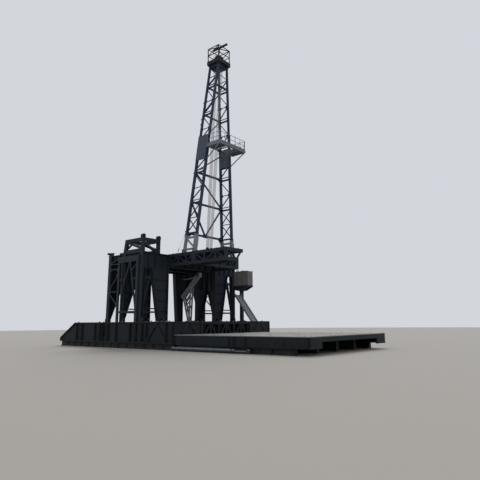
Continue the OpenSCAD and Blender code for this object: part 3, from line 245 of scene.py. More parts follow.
def profile_section(width, depth, pitch, thick):
    """Trapezoid sheet as [across, beyond] points.

    Its height at a is depth clip(1.7 sin(2 pi a / pitch), -1, 1) / 2.
    """
    a = np.linspace(-width / 2, width / 2, int(width / pitch * 8) + 1)
    b = depth / 2 * np.clip(1.7 * np.sin(2 * np.pi * a / pitch), -1, 1)
    return np.concatenate([np.stack([a, b - thick], 1), np.stack([a[::-1], b[::-1]], 1)])


def carried(start, end, section, near=UP, bevel=0.0):
    """Bars: a closed section of [across, beyond] points carried along each line.

    Point (i, j) = start + s_i along + f_i (a_j across + b_j beyond). With a bevel the first and
    last rings are drawn in by it.
    """
    start, end = np.broadcast_arrays(np.atleast_2d(np.asarray(start, float)),
                                     np.atleast_2d(np.asarray(end, float)))
    length = np.linalg.norm(end - start, axis=1)
    across, beyond, along = square_to(end - start, near)
    drawn = 1 - bevel / np.abs(section).max()
    s, f = [length * 0, length], [1, 1]
    if bevel:
        s, f = [length * 0, length * 0 + bevel, length - bevel, length], [drawn, 1, 1, drawn]
    s = np.stack(s, 1)[:, :, None, None]
    f = np.array(f)[:, None, None]
    return skin(start[:, None, None] + s * along[:, None, None]
                + f * laid(across, beyond, section)[:, None])


def runs(x, y, z, section, near=UP, bevel=0.0):
    """Bars along one axis: the one given as a tuple (from, to). The others list the places."""
    ends = [[a[i] if isinstance(a, tuple) else a for a in (x, y, z)] for i in (0, 1)]
    return carried(rows(*ends[0]), rows(*ends[1]), section, near, bevel)


def plates(at, facing, width, height, thick, near=UP):
    """Cut-cornered plates that stand proud of each place by their thickness."""
    at, facing = placed(at, facing)
    return carried(at, at + facing * thick, flat_bar(width, height, 0.02), near, thick * 0.25)


def bolts(at, facing, s):
    """Bolts on faces: a round washer of radius s, and a six-sided head with its rim turned down."""
    washer = [[-0.002, s], [0.11 * s, s], [0.14 * s, 0.95 * s]]
    head = [[0.1 * s, 0.88 * s], [0.62 * s, 0.88 * s], [0.74 * s, 0.76 * s]]
    return [turned(at, facing, washer, 12), turned(at, facing, head, 6)]


def pipe(path, radius, sides, loop=False, near=UP):
    """A round bar bent along a path.

    Ring i is a circle round path point i, square to the line between its two neighbours.
    """
    path = np.asarray(path, float)
    run = np.roll(path, -1, 0) - np.roll(path, 1, 0) if loop else np.gradient(path, axis=0)
    across, beyond, _ = square_to(run, near)
    points = path[:, None] + laid(across, beyond, round_bar(radius, sides))
    return skin(points[None], loop)


def bent(corners, radius):
    """A path with rounded corners: each corner is a curve (1-t)^2 a + 2t(1-t) b + t^2 c."""
    corners = np.asarray(corners, float)
    t = np.linspace(0, 1, CORNER_POINTS)[:, None]
    path = [corners[:1]]
    for before, here, after in zip(corners, corners[1:], corners[2:]):
        a, c = here + radius * unit(before - here), here + radius * unit(after - here)
        path.append((1 - t) ** 2 * a + 2 * t * (1 - t) * here + t ** 2 * c)
    return np.concatenate(path + [corners[-1:]])


def circle_path(middle, u, v, radius, count):
    """Points on a circle: middle + radius (cos t u + sin t v)."""
    return middle + laid(unit([u]), unit([v]), round_bar(radius, count))[0]


def eyes(at, reach, facing, width, length, hole, thick):
    """Pad eyes: a plate round a hole at each place, with its foot length behind the hole.

    The outline's radius at angle t from the reach is half the width on the round end, and
    beyond it the nearer of half width / |sin t| and length / -cos t.
    """
    at, reach, facing = placed(at, reach, facing)
    aside = np.cross(facing, reach)
    turn = round_bar(1, 20)
    cos, sin = turn.T
    side = width / 2 / np.maximum(np.abs(sin), 1e-6)
    foot = length / np.maximum(-cos, 1e-6)
    outer = np.where(cos >= 0, width / 2, np.minimum(side, foot))[:, None]
    rings = [at[:, None] + level * thick * facing[:, None] + laid(reach, aside, radius * turn)
             for radius, level in ((outer, -0.5), (outer, 0.5), (hole, 0.5), (hole, -0.5))]
    return skin(np.stack(rings, 1), loop=True)


def rows(*axes):
    """All combinations of the given x, y and z values, one point a row."""
    return np.stack(np.meshgrid(*[np.atleast_1d(a).astype(float) for a in axes],
                                indexing="ij"), -1).reshape(-1, 3)


# ---------------------------------------------------------------- finishes


def linear(code):
    """An sRGB hex colour as linear red, green, blue and alpha."""
    parts = [int(code[i:i + 2], 16) / 255 for i in (1, 3, 5)]
    return tuple(c / 12.92 if c <= 0.04045 else ((c + 0.055) / 1.055) ** 2.4
                 for c in parts) + (1.0,)


def set_inputs(tree, node, values):
    """Sets inputs by their name or number: a socket is linked, and a value stays in the input."""
    for key, value in values.items():
        if isinstance(value, bpy.types.NodeSocket):
            tree.links.new(value, node.inputs[key])
        else:
            node.inputs[key].default_value = value


def add(tree, kind, settings=None, out=0, **links):
    """Adds a node, sets its properties and inputs, and links the inputs given as sockets.

    An input is named by its name, or by _ and its number. The result is the output out.
    """
    node = tree.nodes.new(kind)
    for key, value in (settings or {}).items():
        if hasattr(node, key):
            setattr(node, key, value)
        else:
            node.inputs[key].default_value = value
    set_inputs(tree, node, {int(key[1:]) if key[0] == "_" else key.replace("_", " "): value
                            for key, value in links.items()})
    return node.outputs[out] if node.outputs else node


def start_finish(name):
    """A new material: its tree, its shader and its Object coordinates in metres."""
    material = bpy.data.materials.new(name)
    material.use_nodes = True
    tree = material.node_tree
    return (material, tree, tree.nodes["Principled BSDF"],
            add(tree, "ShaderNodeTexCoord", out="Object"))


MATHS, SPLIT, MAPPING = "ShaderNodeMath", "ShaderNodeSeparateXYZ", "ShaderNodeMapping"


def ramp(tree, value, start, end, low=0.0, high=1.0):
    """Low up to the value start, high from the value end on, and a straight line between."""
    return add(tree, "ShaderNodeMapRange", {"From Min": start, "From Max": end, "To Min": low,
                                            "To Max": high}, Value=value)


def noise(tree, place, scale, detail, roughness=0.5):
    """Cloudy noise whose largest patches are about 1 / scale metres across."""
    return add(tree, "ShaderNodeTexNoise", {"Scale": scale, "Detail": detail,
                                            "Roughness": roughness}, Vector=place)


def product(tree, one, other):
    """Two values multiplied."""
    return add(tree, MATHS, {"operation": "MULTIPLY"}, _0=one, _1=other)


def over(tree, share, coat, layer):
    """The colour of a coat with a share of a layer over it."""
    return add(tree, "ShaderNodeMix", {"data_type": "RGBA"}, 2, _0=share, _6=coat, _7=layer)


def relief(tree, height, strength, distance, **below):
    """Bumps of a pattern, distance metres high at full strength, over a Normal if it is given."""
    return add(tree, "ShaderNodeBump", {"Strength": strength, "Distance": distance},
               Height=height, **below)


def tread_height(tree, place):
    """Raised bars of tread plate: two families of bars at 45 degrees, in turn on 120 mm squares.

    Real bars stand 30 mm apart; they are drawn 60 mm apart so that they show.
    """
    squares = add(tree, "ShaderNodeTexChecker", {"Scale": 1 / 0.12}, "Fac", Vector=place)
    bars = []
    for turn in (45, -45):
        line = add(tree, MAPPING, {"Rotation": (0, 0, math.radians(turn))}, Vector=place)
        bars.append(add(tree, "ShaderNodeTexWave", {"Scale": 5.2}, "Fac", Vector=line))
    both = add(tree, "ShaderNodeMix", {"data_type": "FLOAT"}, _0=squares, _2=bars[0], _3=bars[1])
    return ramp(tree, both, 0.62, 0.8)


def enamel(name, colour, dust="#3c4046", settled_dust_and_sheen="#6e6b66", rust="#33261f", dust_and_sheen_cover=0.4,
           rust_cover=0.03, splash=0.0, tread=False, gloss=0.2):
    """Sprayed enamel on plate and section steel, some seasons in an open yard.

    It gives the low sheen of chalked paint, broad patches where coats overlap, streaks that rain
    has drawn down the plates, dust on level faces, which where it is set pale and thick is also a
    painted highlight on upper faces, small rust spots, and mud splashed up from the ground as high
    as splash says.
    """
    material, tree, shader, place = start_finish(name)
    # broad patches about 2.5 m across, and clouds of 300 mm
    broad = noise(tree, place, 0.4, 3.0, 0.55)
    cloud = noise(tree, place, 3.2, 4.0, 0.6)
    # streaks 110 mm wide and 1.7 m long
    drawn = add(tree, MAPPING, {"Scale": (9.0, 9.0, 0.6)}, Vector=place)
    streak = noise(tree, drawn, 1.0, 4.0, 0.6)
    # rust spots of 20 to 60 mm
    spot = noise(tree, place, 14.0, 5.0, 0.7)
    # the coat is 14% deeper or paler where it overlaps, and chalks towards the dust's colour
    base, dirt = linear(colour), linear(dust)
    coat = tuple(c * 0.86 for c in base[:3]) + (1,)
    pale = tuple(min(1, c * 1.14 + 0.001) for c in base[:3]) + (1,)
    chalk = tuple(c * 0.72 + d * 0.28 for c, d in zip(base, dirt))
    for pattern, low, high, most, layer in ((broad, 0.3, 0.7, 1.0, pale),
                                            (cloud, 0.5, 0.75, 0.5, chalk),
                                            (streak, 0.52, 0.74, 0.3, dirt)):
        share = ramp(tree, pattern, low, high, high=most)
        coat = over(tree, share, coat, layer)
    # dust on faces that look up; set pale and thick, as on the barrel, it is a painted highlight on
    # the upper faces
    normal = add(tree, "ShaderNodeNewGeometry", out="Normal")
    upward = add(tree, SPLIT, out="Z", Vector=normal)
    level = ramp(tree, upward, 0.3, 0.95, high=dust_and_sheen_cover)
    worn = ramp(tree, cloud, 0.25, 0.65, low=0.45)
    coat = over(tree, product(tree, level, worn), coat, linear(settled_dust_and_sheen))
    # mud from the ground up
    if splash:
        near = ramp(tree, add(tree, SPLIT, out="Z", Vector=place), 0.0, splash, 0.6, 0.0)
        worn = ramp(tree, cloud, 0.3, 0.6, low=0.2)
        coat = over(tree, product(tree, near, worn), coat, linear("#41413f"))
    share = ramp(tree, spot, 0.71 - rust_cover, 0.745 - rust_cover)
    coat = over(tree, share, coat, linear(rust))
    rough = ramp(tree, streak, 0.25, 0.75, 0.47, 0.71)
    # orange peel of 3 mm is drawn at 25 mm, with plate that waves over 400 mm
    bump = relief(tree, noise(tree, place, 40.0, 2.0), 0.25, 0.004)
    bump = relief(tree, noise(tree, place, 2.5, 1.0), 0.3, 0.02, Normal=bump)
    if tread:
        bump = relief(tree, tread_height(tree, place), 0.6, 0.006, Normal=bump)
    set_inputs(tree, shader, {"Base Color": coat, "Roughness": rough, "Normal": bump,
                              "Specular IOR Level": gloss})
    return material


def wire_rope():
    """Bright steel rope under a film of grease: six strands laid round a core.

    The strands run at an angle to the rope's own length, which its UV map holds in metres.
    """
    material, tree, shader, _ = start_finish("greased_wire_rope")
    along = add(tree, "ShaderNodeUVMap")
    around = add(tree, SPLIT, out="X", Vector=along)
    metres = add(tree, SPLIT, out="Y", Vector=along)
    # six strands round, and one turn of the lay in 230 mm, 6.5 rope diameters
    around = product(tree, around, 6.0)
    lay = add(tree, MATHS, {"operation": "MULTIPLY_ADD"}, _0=metres, _1=6 / 0.23, _2=around)
    strand = add(tree, MATHS, {"operation": "PINGPONG"}, _0=lay, _1=0.5)
    swell = ramp(tree, strand, 0.0, 0.42)
    wires = over(tree, swell, linear("#5b5a57"), linear("#a8a7a4"))
    bump = relief(tree, swell, 0.9, 0.004)
    set_inputs(tree, shader, {"Base Color": wires, "Normal": bump, "Metallic": 0.55,
                              "Roughness": 0.45})
    return material


def bare_metal(name, colour, roughness, metallic, draw=(40.0, 40.0, 40.0)):
    """Bare or plated steel, with a fine tool grain along its drawing direction and dull blooms."""
    material, tree, shader, place = start_finish(name)
    grain = noise(tree, add(tree, MAPPING, {"Scale": draw}, Vector=place), 1.0, 3.0)
    bloom = noise(tree, place, 6.0, 3.0)
    base = linear(colour)
    dull = tuple(c * 0.7 for c in base[:3]) + (1,)
    coat = over(tree, ramp(tree, bloom, 0.4, 0.7), base, dull)
    rough = ramp(tree, grain, 0.3, 0.7, roughness - 0.07, roughness + 0.12)
    bump = relief(tree, grain, 0.15, 0.001)
    set_inputs(tree, shader, {"Base Color": coat, "Roughness": rough, "Normal": bump,
                              "Metallic": metallic})
    return material


# the finish of each material slot in the record
FINISHES = {
    "base_steel": enamel("slate_enamel", "#181f23", splash=0.5),
    "skid_steel": enamel("muddy_slate_enamel", "#14191c", splash=0.5),
    "frame_steel": enamel("blue_grey_enamel", "#252d36"),
    "pale_post_paint": enamel("mid_grey_enamel", "#2d343c"),
    "deck_steel": enamel("worn_deck_enamel", "#2a2f35", dust_and_sheen_cover=0.55, tread=True),
    "bare_steel": bare_metal("oiled_steel", "#56575a", 0.38, 0.7),
    "pale_paint": enamel("light_grey_enamel", "#81868d", dust="#6e7175", gloss=0.4),
    "mast_paint": enamel("navy_enamel", "#20334a", dust="#3a4656", gloss=0.3),
    "wall_paint": enamel("grey_blue_enamel", "#515b68", dust="#6c747e"),
    "board_paint": enamel("board_grey_enamel", "#727984", dust="#858a92"),
    "crown_paint": enamel("crown_enamel", "#27242b"),
    "deck_grey": enamel("pale_deck_enamel", "#77767a", dust="#8c8882", settled_dust_and_sheen="#9a958e",
                        dust_and_sheen_cover=0.75, tread=True),
    "tank_paint": enamel("beige_grey_enamel", "#7a787a", dust="#8a8683", rust="#5a463a",
                         rust_cover=0.045),
    "stand_paint": enamel("dark_blue_enamel", "#2a3146", dust="#434856"),
}
ROPE = wire_rope()
# painted shade: near black, with hardly any sheen, on plates that stay in shadow, standing for the
# shade that falls there
SHADE_BLACK = enamel("painted_shade_black", "#0b0d10", dust="#25282c", gloss=0.12)
# ground rod under a film of oil: bright along its length, with a fine grain
ROD = bare_metal("oiled_rod_steel", "#676b70", 0.3, 0.8, draw=(3.0, 90.0, 90.0))
# glossier enamel on the strut that lies in the open; the pale colour on its upper side is a painted
# highlight, the sky's reflection on the barrel
BARREL_HIGHLIGHTED = enamel("barrel_enamel_painted_highlight", "#343a41", settled_dust_and_sheen="#a9adb1", dust_and_sheen_cover=0.9, gloss=0.4)
# zinc plating on bolts and fittings: light grey and half dull
ZINC = bare_metal("zinc_plate", "#8b8d8e", 0.42, 0.85)
slot_of = {row["node"]: row["material_slot"] for row in frame["record"]["subparts"]}
for name, node in frame["nodes"].items():
    node.data.materials.clear()
    node.data.materials.append(BARREL_HIGHLIGHTED if name == "spare_struts" else FINISHES[slot_of[name]])

# ---------------------------------------------------------------- pieces


def other_side(shape):
    """The same shape on the right of the rig: y turned about, and each face run the other way."""
    points, faces = shape
    return points * (1, -1, 1), [f[:, ::-1] for f in faces]


def piece(name, slot, shapes, finish=None, both=True, stands_for=(), uv=None):
    """Makes one piece of several shapes, each a pair of points and faces.

    With both, the shapes stand on the two sides of the rig. Without a finish, the piece takes
    its slot's. The function uv gives the mesh's UV map.
    """
    shapes = [s for item in shapes for s in (item if isinstance(item, list) else [item])]
    if both:
        shapes = shapes + [other_side(s) for s in shapes]
    points, faces, count = [], [], 0
    for verts, rings in shapes:
        points.append(verts + (0, MIDDLE, 0))
        for ring in rings:
            faces += (ring + count).tolist()
        count += len(verts)
    mesh = bpy.data.meshes.new(name)
    mesh.from_pydata(np.concatenate(points).tolist(), [], faces)
    mesh.polygons.foreach_set("use_smooth", np.ones(len(faces), bool))
    mesh.set_sharp_from_angle(angle=math.radians(32))
    if uv is not None:
        layer = mesh.uv_layers.new(name="lay")
        layer.data.foreach_set("uv", uv(mesh).ravel())
    mesh.materials.append(finish or FINISHES[slot])
    made = new_object(name, mesh)
    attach(made, "root")
    if stands_for:
        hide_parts(*stands_for)


def single(*given, **more):
    """Makes a piece that isn't repeated on the other side of the rig."""
    piece(*given, both=False, **more)


# the base: weld beads beside the ribs and along the flanges
rib_edges = np.concatenate([RIBS - 0.085, RIBS + 0.085])
bead = round_bar(0.013, 6)
piece("base_welds", "base_steel", [
    runs(rib_edges, PANELS, (PANEL_LOW, PANEL_HIGH), bead),
    runs((-13.0, BASE_FRONT - 0.02), PANELS, [PANEL_LOW - 0.008, PANEL_HIGH + 0.008], bead)])
# dark flats on the outer edges of the ribs: painted shade, standing for the shadows in the recesses
# beside the ribs
piece("base_rib_shade_flats", "skid_steel", [
    plates(rows(RIBS, OUTSIDE - 0.005, BASE_MIDDLE), LEFT, 0.15, 1.66, 0.006)], SHADE_BLACK)
# lifting eyes on pads, near the edges of the top
lift = rows([-12.6, -8.9, -0.9, 1.5], [OUTSIDE - 0.22, INSIDE + 0.22], BASE_TOP)
piece("base_lifting_eyes", "base_steel", [
    eyes(lift + 0.04 * UP, UP, LEFT, 0.12, 0.04, 0.028, 0.03),
    plates(lift, UP, 0.16, 0.3, 0.012)])
# the pocket between two ribs: a dark back plate inside a rim, painted shade of the pocket's depth,
# with a lashing bar across it
pocket_x, pocket_y, pocket_z = -7.9, PANELS[0], 1.5
piece("base_pocket_shade_backs", "skid_steel", [
    plates([pocket_x, pocket_y, pocket_z], LEFT, 0.74, 1.05, 0.012)], SHADE_BLACK)
piece("base_pocket_rims", "base_steel", [
    runs([pocket_x - 0.41, pocket_x + 0.41], pocket_y + 0.02, (pocket_z - 0.58, pocket_z + 0.58),
         flat_bar(0.07, 0.05), LEFT, 0.004),
    runs((pocket_x - 0.38, pocket_x + 0.38), pocket_y + 0.02, [pocket_z - 0.56, pocket_z + 0.56],
         flat_bar(0.05, 0.12), UP, 0.004),
    runs((pocket_x - 0.4, pocket_x + 0.4), pocket_y + 0.045, pocket_z + 0.1, round_bar(0.028, 12))])
# plates that join the diagonals of the front panel to its flanges, and bolts where they meet
piece("base_gussets", "base_steel", [
    plates(rows([RIBS[1] - 0.13, RIBS[2] + 0.13], OUTSIDE - 0.03, 0.74), LEFT,
           0.42, 0.3, 0.014)])
apex_x = RIBS[1:3].mean()
piece("base_apex_bolts", "bare_steel", [
    bolts(rows(apex_x + np.array([-0.12, 0, 0.12]), OUTSIDE - 0.021, [2.06, 2.2]), LEFT, 0.018)],
      FINISHES["base_steel"])
# braces on the front end of each box: two diagonals that meet at the top, in a frame of flats
end_x, end_low, end_high = BASE_FRONT + 0.028, 0.66, BASE_TOP - 0.1
end_y = np.array([INSIDE + 0.14, OUTSIDE - 0.14])
piece("base_end_braces", "base_steel", [
    carried([[end_x, y, end_low] for y in end_y + (0.2, -0.2)],
            [[end_x, end_y.mean() + side * 0.12, end_high] for side in (-1, 1)],
            flat_bar(0.17, 0.06), AHEAD, 0.006),
    runs(end_x, end_y, (end_low - 0.1, end_high + 0.08), flat_bar(0.2, 0.06), AHEAD, 0.006),
    runs(end_x - 0.004, tuple(end_y), [end_low - 0.08, end_high + 0.03],
         flat_bar(0.14, 0.06), AHEAD, 0.006)])
# dark sheets behind the truss between the boxes, with a lap strip at each joint: painted shade,
# standing for the shaded space under the rig seen through the truss
sheet_x, sheet_width = BASE_FRONT - 0.34, INSIDE / 2
sheet_y = (np.arange(4) - 1.5) * (sheet_width - 0.01)
single("base_front_sheets", "skid_steel", [
    plates(rows(sheet_x, sheet_y, BASE_MIDDLE), AHEAD, 1.84, sheet_width - 0.02, 0.008),
    plates(rows(sheet_x + 0.001, sheet_y[:3] + sheet_width / 2, BASE_MIDDLE), AHEAD,
           1.8, 0.09, 0.012)])
# capped pins in the tongues between the base and the platform
piece("coupling_pins", "bare_steel", [
    turned([2.405, 3.48, 0.86], LEFT,
           [[0, 0.05], [0.26, 0.05], [0.262, 0.075], [0.285, 0.075], [0.292, 0.06]], 20)])

# the portals' feet: a cap on each end of a pin, held by a keeper plate with two bolts
feet = [(x, y, side) for x, ys in zip(PORTALS, FOOT_PINS) for y in ys for side in (-1, 1)]
caps = np.array([[x + side * PIN_REACH, y, PIN_HEIGHT] for x, y, side in feet])
cap_out = np.array([side * AHEAD for _, _, side in feet])
piece("portal_pin_caps", "bare_steel", [
    turned(caps, cap_out,
           [[-0.012, 0.08], [0.014, 0.08], [0.02, 0.072], [0.02, 0.05], [0.03, 0.046]], 18),
    plates(caps + cap_out * 0.014 + 0.075 * DOWN, cap_out, 0.09, 0.05, 0.012)])
piece("portal_keeper_bolts", "bare_steel", [
    bolts(caps + cap_out * 0.026 + (0, d, -0.075), cap_out, 0.011) for d in (-0.028, 0.028)], ZINC)
# welds of the ribs on the front and rear faces of the webs
piece("portal_welds", "frame_steel", [
    runs([x - 0.05, x + 0.05], (3.5, 3.5 + span),
         BASE_TOP + 0.04 + np.arange(1, 5) * (top - BASE_TOP) / 5, round_bar(0.012, 6))
    for x, top, span in ((PORTALS[0], 7.4, 0.95), (PORTALS[1], 5.9, 0.5))])
# round doubling plates with a hole, on both faces of the webs
piece("portal_lifting_rings", "frame_steel", [
    turned([x + side * 0.045, y, 8.3], side * AHEAD,
           [[-0.004, 0.2], [0.014, 0.2], [0.02, 0.192], [0.02, 0.09], [-0.004, 0.085]], 28,
           loop=True)
    for x, y in zip(np.take(PORTALS, (0, 0, 1, 2)), (4.3, 5.9, 4.3, 4.3)) for side in (-1, 1)])

# the lattices: gussets where the bars meet the posts, each with four bolts
joints = np.array([[-7.16, 8.08], [-5.98, 8.55], [-7.16, 5.6], [-5.98, 6.9], [-7.16, 5.15],
                   [-5.98, 3.95], [-5.26, 5.15], [-4.11, 8.0], [-3.02, 3.2], [-2.98, 7.9],
                   [-5.26, 3.33], [-3.0, 3.33], [-7.16, 7.46], [-5.98, 7.46]])     # x and z
joints = np.insert(joints, 1, OUTSIDE - 0.016, axis=1)
piece("lattice_gussets", "pale_post_paint", [plates(joints, LEFT, 0.34, 0.3, 0.008)])
piece("lattice_bolts", "bare_steel", [
    bolts(joints + (a, -0.008, b), LEFT, 0.009) for a in (-0.1, 0.1) for b in (-0.08, 0.08)],
      FINISHES["pale_post_paint"])

# the floor's trusses: gussets on the outer faces of the chords
floor_x = np.linspace(FLOOR_REAR, FLOOR_FRONT, 9)[1:-1]
piece("floor_gussets", "frame_steel", [
    plates(rows(floor_x, CHORD_FACE, CHORDS), LEFT, 0.36, 0.17, 0.014)])
wing_x = np.linspace(FLOOR_FRONT, WING_FRONT, 4)[1:-1]
single("wing_gussets", "frame_steel", [
    plates(rows(wing_x, -CHORD_FACE, CHORDS), RIGHT, 0.36, 0.17, 0.014)])
# sockets for handrail posts along the deck's edges
tube = [[-0.01, 0.038], [0.066, 0.038], [0.07, 0.034], [0.07, 0.028], [0.02, 0.026]]
piece("rail_sockets", "deck_steel", [
    turned(rows(np.arange(-7.4, 0.9, 1.37), FLOOR_SIDE - 0.07, DECK), UP, tube, 14)])
front_sockets = np.concatenate([
    rows(FLOOR_FRONT - 0.08, [-0.6, 0.9, 2.3], DECK),
    rows(np.arange(1.5, 5.1, 1.2), [-FLOOR_SIDE + 0.07, WING_LEFT - 0.07], DECK),
    rows(WING_FRONT - 0.07, [-2.8, -1.6], DECK)])
single("front_rail_sockets", "deck_steel", [turned(front_sockets, UP, tube, 14)])
# seams of the deck plates: raised weld runs
single("deck_seams", "deck_steel", [
    runs(np.arange(-6.3, 0.9, 1.5), (-FLOOR_SIDE + 0.03, FLOOR_SIDE - 0.03), DECK,
         flat_bar(0.03, 0.01, 0.003)),
    runs((FLOOR_REAR + 0.03, FLOOR_FRONT - 0.03), [2.2, -2.2], DECK,
         flat_bar(0.026, 0.008, 0.002))])
# the turntable: a raised rim, and bolts round its ring
single("turntable_bolts", "bare_steel", [
    bolts(circle_path((WELL, 0, DECK + 0.09), AHEAD, LEFT, 0.56, 16), UP, 0.022)], ZINC)
single("turntable_rim", "bare_steel", [
    turned([WELL, 0, DECK + 0.085], UP,
           [[0, 0.5], [0.02, 0.5], [0.026, 0.494], [0.026, 0.26], [0.018, 0.25], [0, 0.25]], 48,
           loop=True)])

# the mast: hinge pins in the ears of its feet
piece("mast_hinge_pins", "bare_steel", [
    turned(post_point(front, DECK, side * 0.175) + 0.3 * UP, side * LEFT,
           [[-0.01, 0.05], [0.01, 0.05], [0.012, 0.075], [0.03, 0.075], [0.036, 0.066]], 20)
    for front in (False, True) for side in (-1, 1)])
# bolts on the collars where the mast's sections join; a collar's width differs above the joint
spots, facings = [], []
for joint, below, above in ((FOOT_TOP, 0.3, 0.28), (JOINT, 0.28, 0.25)):
    for rise in (-0.04, -0.12, 0.04, 0.12):
        for front in (False, True):
            middle = post_point(front, joint + rise)
            for out in (AHEAD, BACK, LEFT, RIGHT):
                face = middle + out * (below if rise < 0 else above) / 2
                for shift in (-0.07, 0.07):
                    spots.append(face + shift * out[[1, 0, 2]])
                    facings.append(out)
piece("mast_joint_bolts", "bare_steel", [bolts(spots, facings, 0.019)], FINISHES["mast_paint"])
# pad eyes on the rear faces of the rear posts, for the raising lines
eye_z = np.array([11.25, 17.5, 20.15, 23.0, 23.6, 25.55])
piece("mast_pad_eyes", "mast_paint", [
    eyes(post_point(False, eye_z, behind=post_half(eye_z) + 0.11), BACK, LEFT,
         0.18, 0.12, 0.04, 0.035)])
# gussets where the rear diagonals and beams meet the posts
level = np.array([11.06, 14.327, 17.593, 20.86, 24.127, 27.393])
back = post_point(False, level, -post_half(level) - 0.12, 0.062)
piece("mast_back_gussets", "mast_paint", [plates(back, BACK, 0.3, 0.34, 0.012)])
piece("mast_back_gusset_bolts", "bare_steel", [
    bolts(back + (-0.012, a, b), BACK, 0.014) for a in (-0.08, 0.06) for b in (-0.11, 0, 0.11)],
      FINISHES["mast_paint"])
# gussets on the sides, where ties and diagonals meet the posts
steps = FOOT_TOP + np.arange(7) * 3.2667
levels = np.concatenate([steps[1:6] + 0.12, (steps[1:5] + steps[2:6]) / 2 + 0.06])
piece("mast_side_gussets", "mast_paint", [
    plates(post_point(front, levels, 0.03, behind), LEFT, 0.2, 0.26, 0.014)
    for front, behind in ((False, -0.19), (True, 0.19))])
# the wind walls: profiled sheet outside each flat sheet, 20 mm short of its ends
for name, side, low, high in (("right_wall_sheet", -1, JOINT - 1.9, JOINT + 0.88),
                              ("left_wall_sheet", 1, JOINT - 1.85, JOINT + 0.3)):
    foot, head = (side_middle(z, 0.229) * (1, side, 1) for z in (low + 0.02, high - 0.02))
    sheet = profile_section(side_depth(low) + 0.06, 0.024, 0.15, 0.002)
    single(name, "wall_paint", [carried(foot, head, sheet, -side * LEFT)])
# a lining sheet on the inner face of the left side, over its posts
foot, head = (side_middle(z, -0.132) + 0.02 * AHEAD for z in (JOINT - 1.83, JOINT + 0.1))
sheet = profile_section(side_depth(JOINT) + 0.14, 0.016, 0.15, 0.002)
single("left_wall_lining", "wall_paint", [carried(foot, head, sheet, LEFT)])

# the racking board: joists under it, toe boards at its edges, tips on its fingers
board_rear, board_front = post(True, BOARD)[0] + np.array([0.165, 2.0])
toe_board = flat_bar(0.012, 0.16)
piece("board_joists", "board_paint", [
    runs(np.linspace(board_rear + 0.2, board_front - 0.2, 6), (1.02, 1.92), BOARD - 0.13,
         angle_bar(0.08, 0.01))])
piece("board_toe_boards", "board_paint", [
    runs((board_rear + 0.06, board_front - 0.12), 1.99, BOARD + 0.08, toe_board, bevel=0.002),
    runs(board_front - 0.06, (0.0, 1.99), BOARD + 0.08, toe_board, bevel=0.002)])
piece("board_bracket_bolts", "bare_steel", [
    bolts(rows([board_rear - 0.05, board_rear - 0.11], post(True, BOARD)[1] + 0.08,
               [BOARD - 0.16, BOARD - 0.1]), LEFT, 0.016)], ZINC)
piece("finger_tips", "bare_steel", [
    turned(rows(board_rear + 0.14 + np.arange(5) * 0.25, 0.26, BOARD - 0.1), RIGHT,
           [[-0.06, 0.032], [0.0, 0.036], [0.03, 0.03], [0.045, 0.014]], 12)])

# the crown: bearing caps on the ends of the sheaves' shaft
shaft = side_middle(CROWN) * (1, 0, 1) + 0.48 * UP
piece("crown_bearing_caps", "crown_paint", [
    turned(shaft + 0.42 * LEFT, LEFT, [[0, 0.15], [0.03, 0.15], [0.036, 0.142], [0.036, 0.1],
                                       [0.06, 0.094], [0.066, 0.08]], 28)])
# fascia plates round the platform, and soffit plates that leave the ropes' slots open
fascia_x, fascia_y = shaft[0] + np.array([-0.862, 0.862]), np.array([-0.972, 0.972])
fascia = flat_bar(0.01, 0.42, 0.002)
single("crown_fascia_plates", "crown_paint", [
    runs(fascia_x, tuple(fascia_y), CROWN - 0.13, fascia),
    runs(tuple(fascia_x), fascia_y, CROWN - 0.13, fascia)])
single("crown_soffit_plates", "crown_paint", [
    plates(rows(shaft[0], [-0.665, 0.665], MAST_TOP + 0.04), DOWN, 1.7, 0.59, 0.008, LEFT),
    plates([shaft[0], 0, MAST_TOP + 0.04], DOWN, 0.4, 0.72, 0.008, LEFT)])
# bolts of the bearing caps
piece("crown_cap_bolts", "bare_steel", [
    bolts(circle_path(shaft + 0.456 * LEFT, AHEAD, UP, 0.122, 6), LEFT, 0.014)], ZINC)


def guard_line(angles, side):
    """Points beside the sheaves: shaft + radius (cos t ahead + sin t up), moved to one side."""
    t = np.asarray(angles)[:, None]
    return (shaft + side * GUARD_SIDE * LEFT
            + GUARD_RADIUS * (np.cos(t) * AHEAD + np.sin(t) * UP))


# rope guards over the sheaves: three bars across, between two hoops
bar_angles, hoop_angles = [0.55, 1.57, 2.59], np.linspace(0.3, 2.84, 20)
single("crown_rope_guards", "crown_paint", [
    carried(guard_line(bar_angles, -1), guard_line(bar_angles, 1), round_bar(0.018, 8)),
    [pipe(guard_line(hoop_angles, side), 0.016, 8, near=LEFT) for side in (1, -1)]])

# the hoist's ropes: round wire ropes from the block on the turntable up to the crown
ROPE_RADIUS, ROPE_SIDES = 0.018, 12
block = np.array([WELL, 0, DECK + 0.0903 + 0.36])      # its shaft, 0.36 m above the turntable
lanes = [(lane, side) for lane in range(-2, 3) for side in (-1, 1)]
rope_low = block + [(side * 0.2383, lane * 0.09, 0) for lane, side in lanes]
rope_high = shaft + [(side * 0.4083, lane * 0.13, 0) for lane, side in lanes]


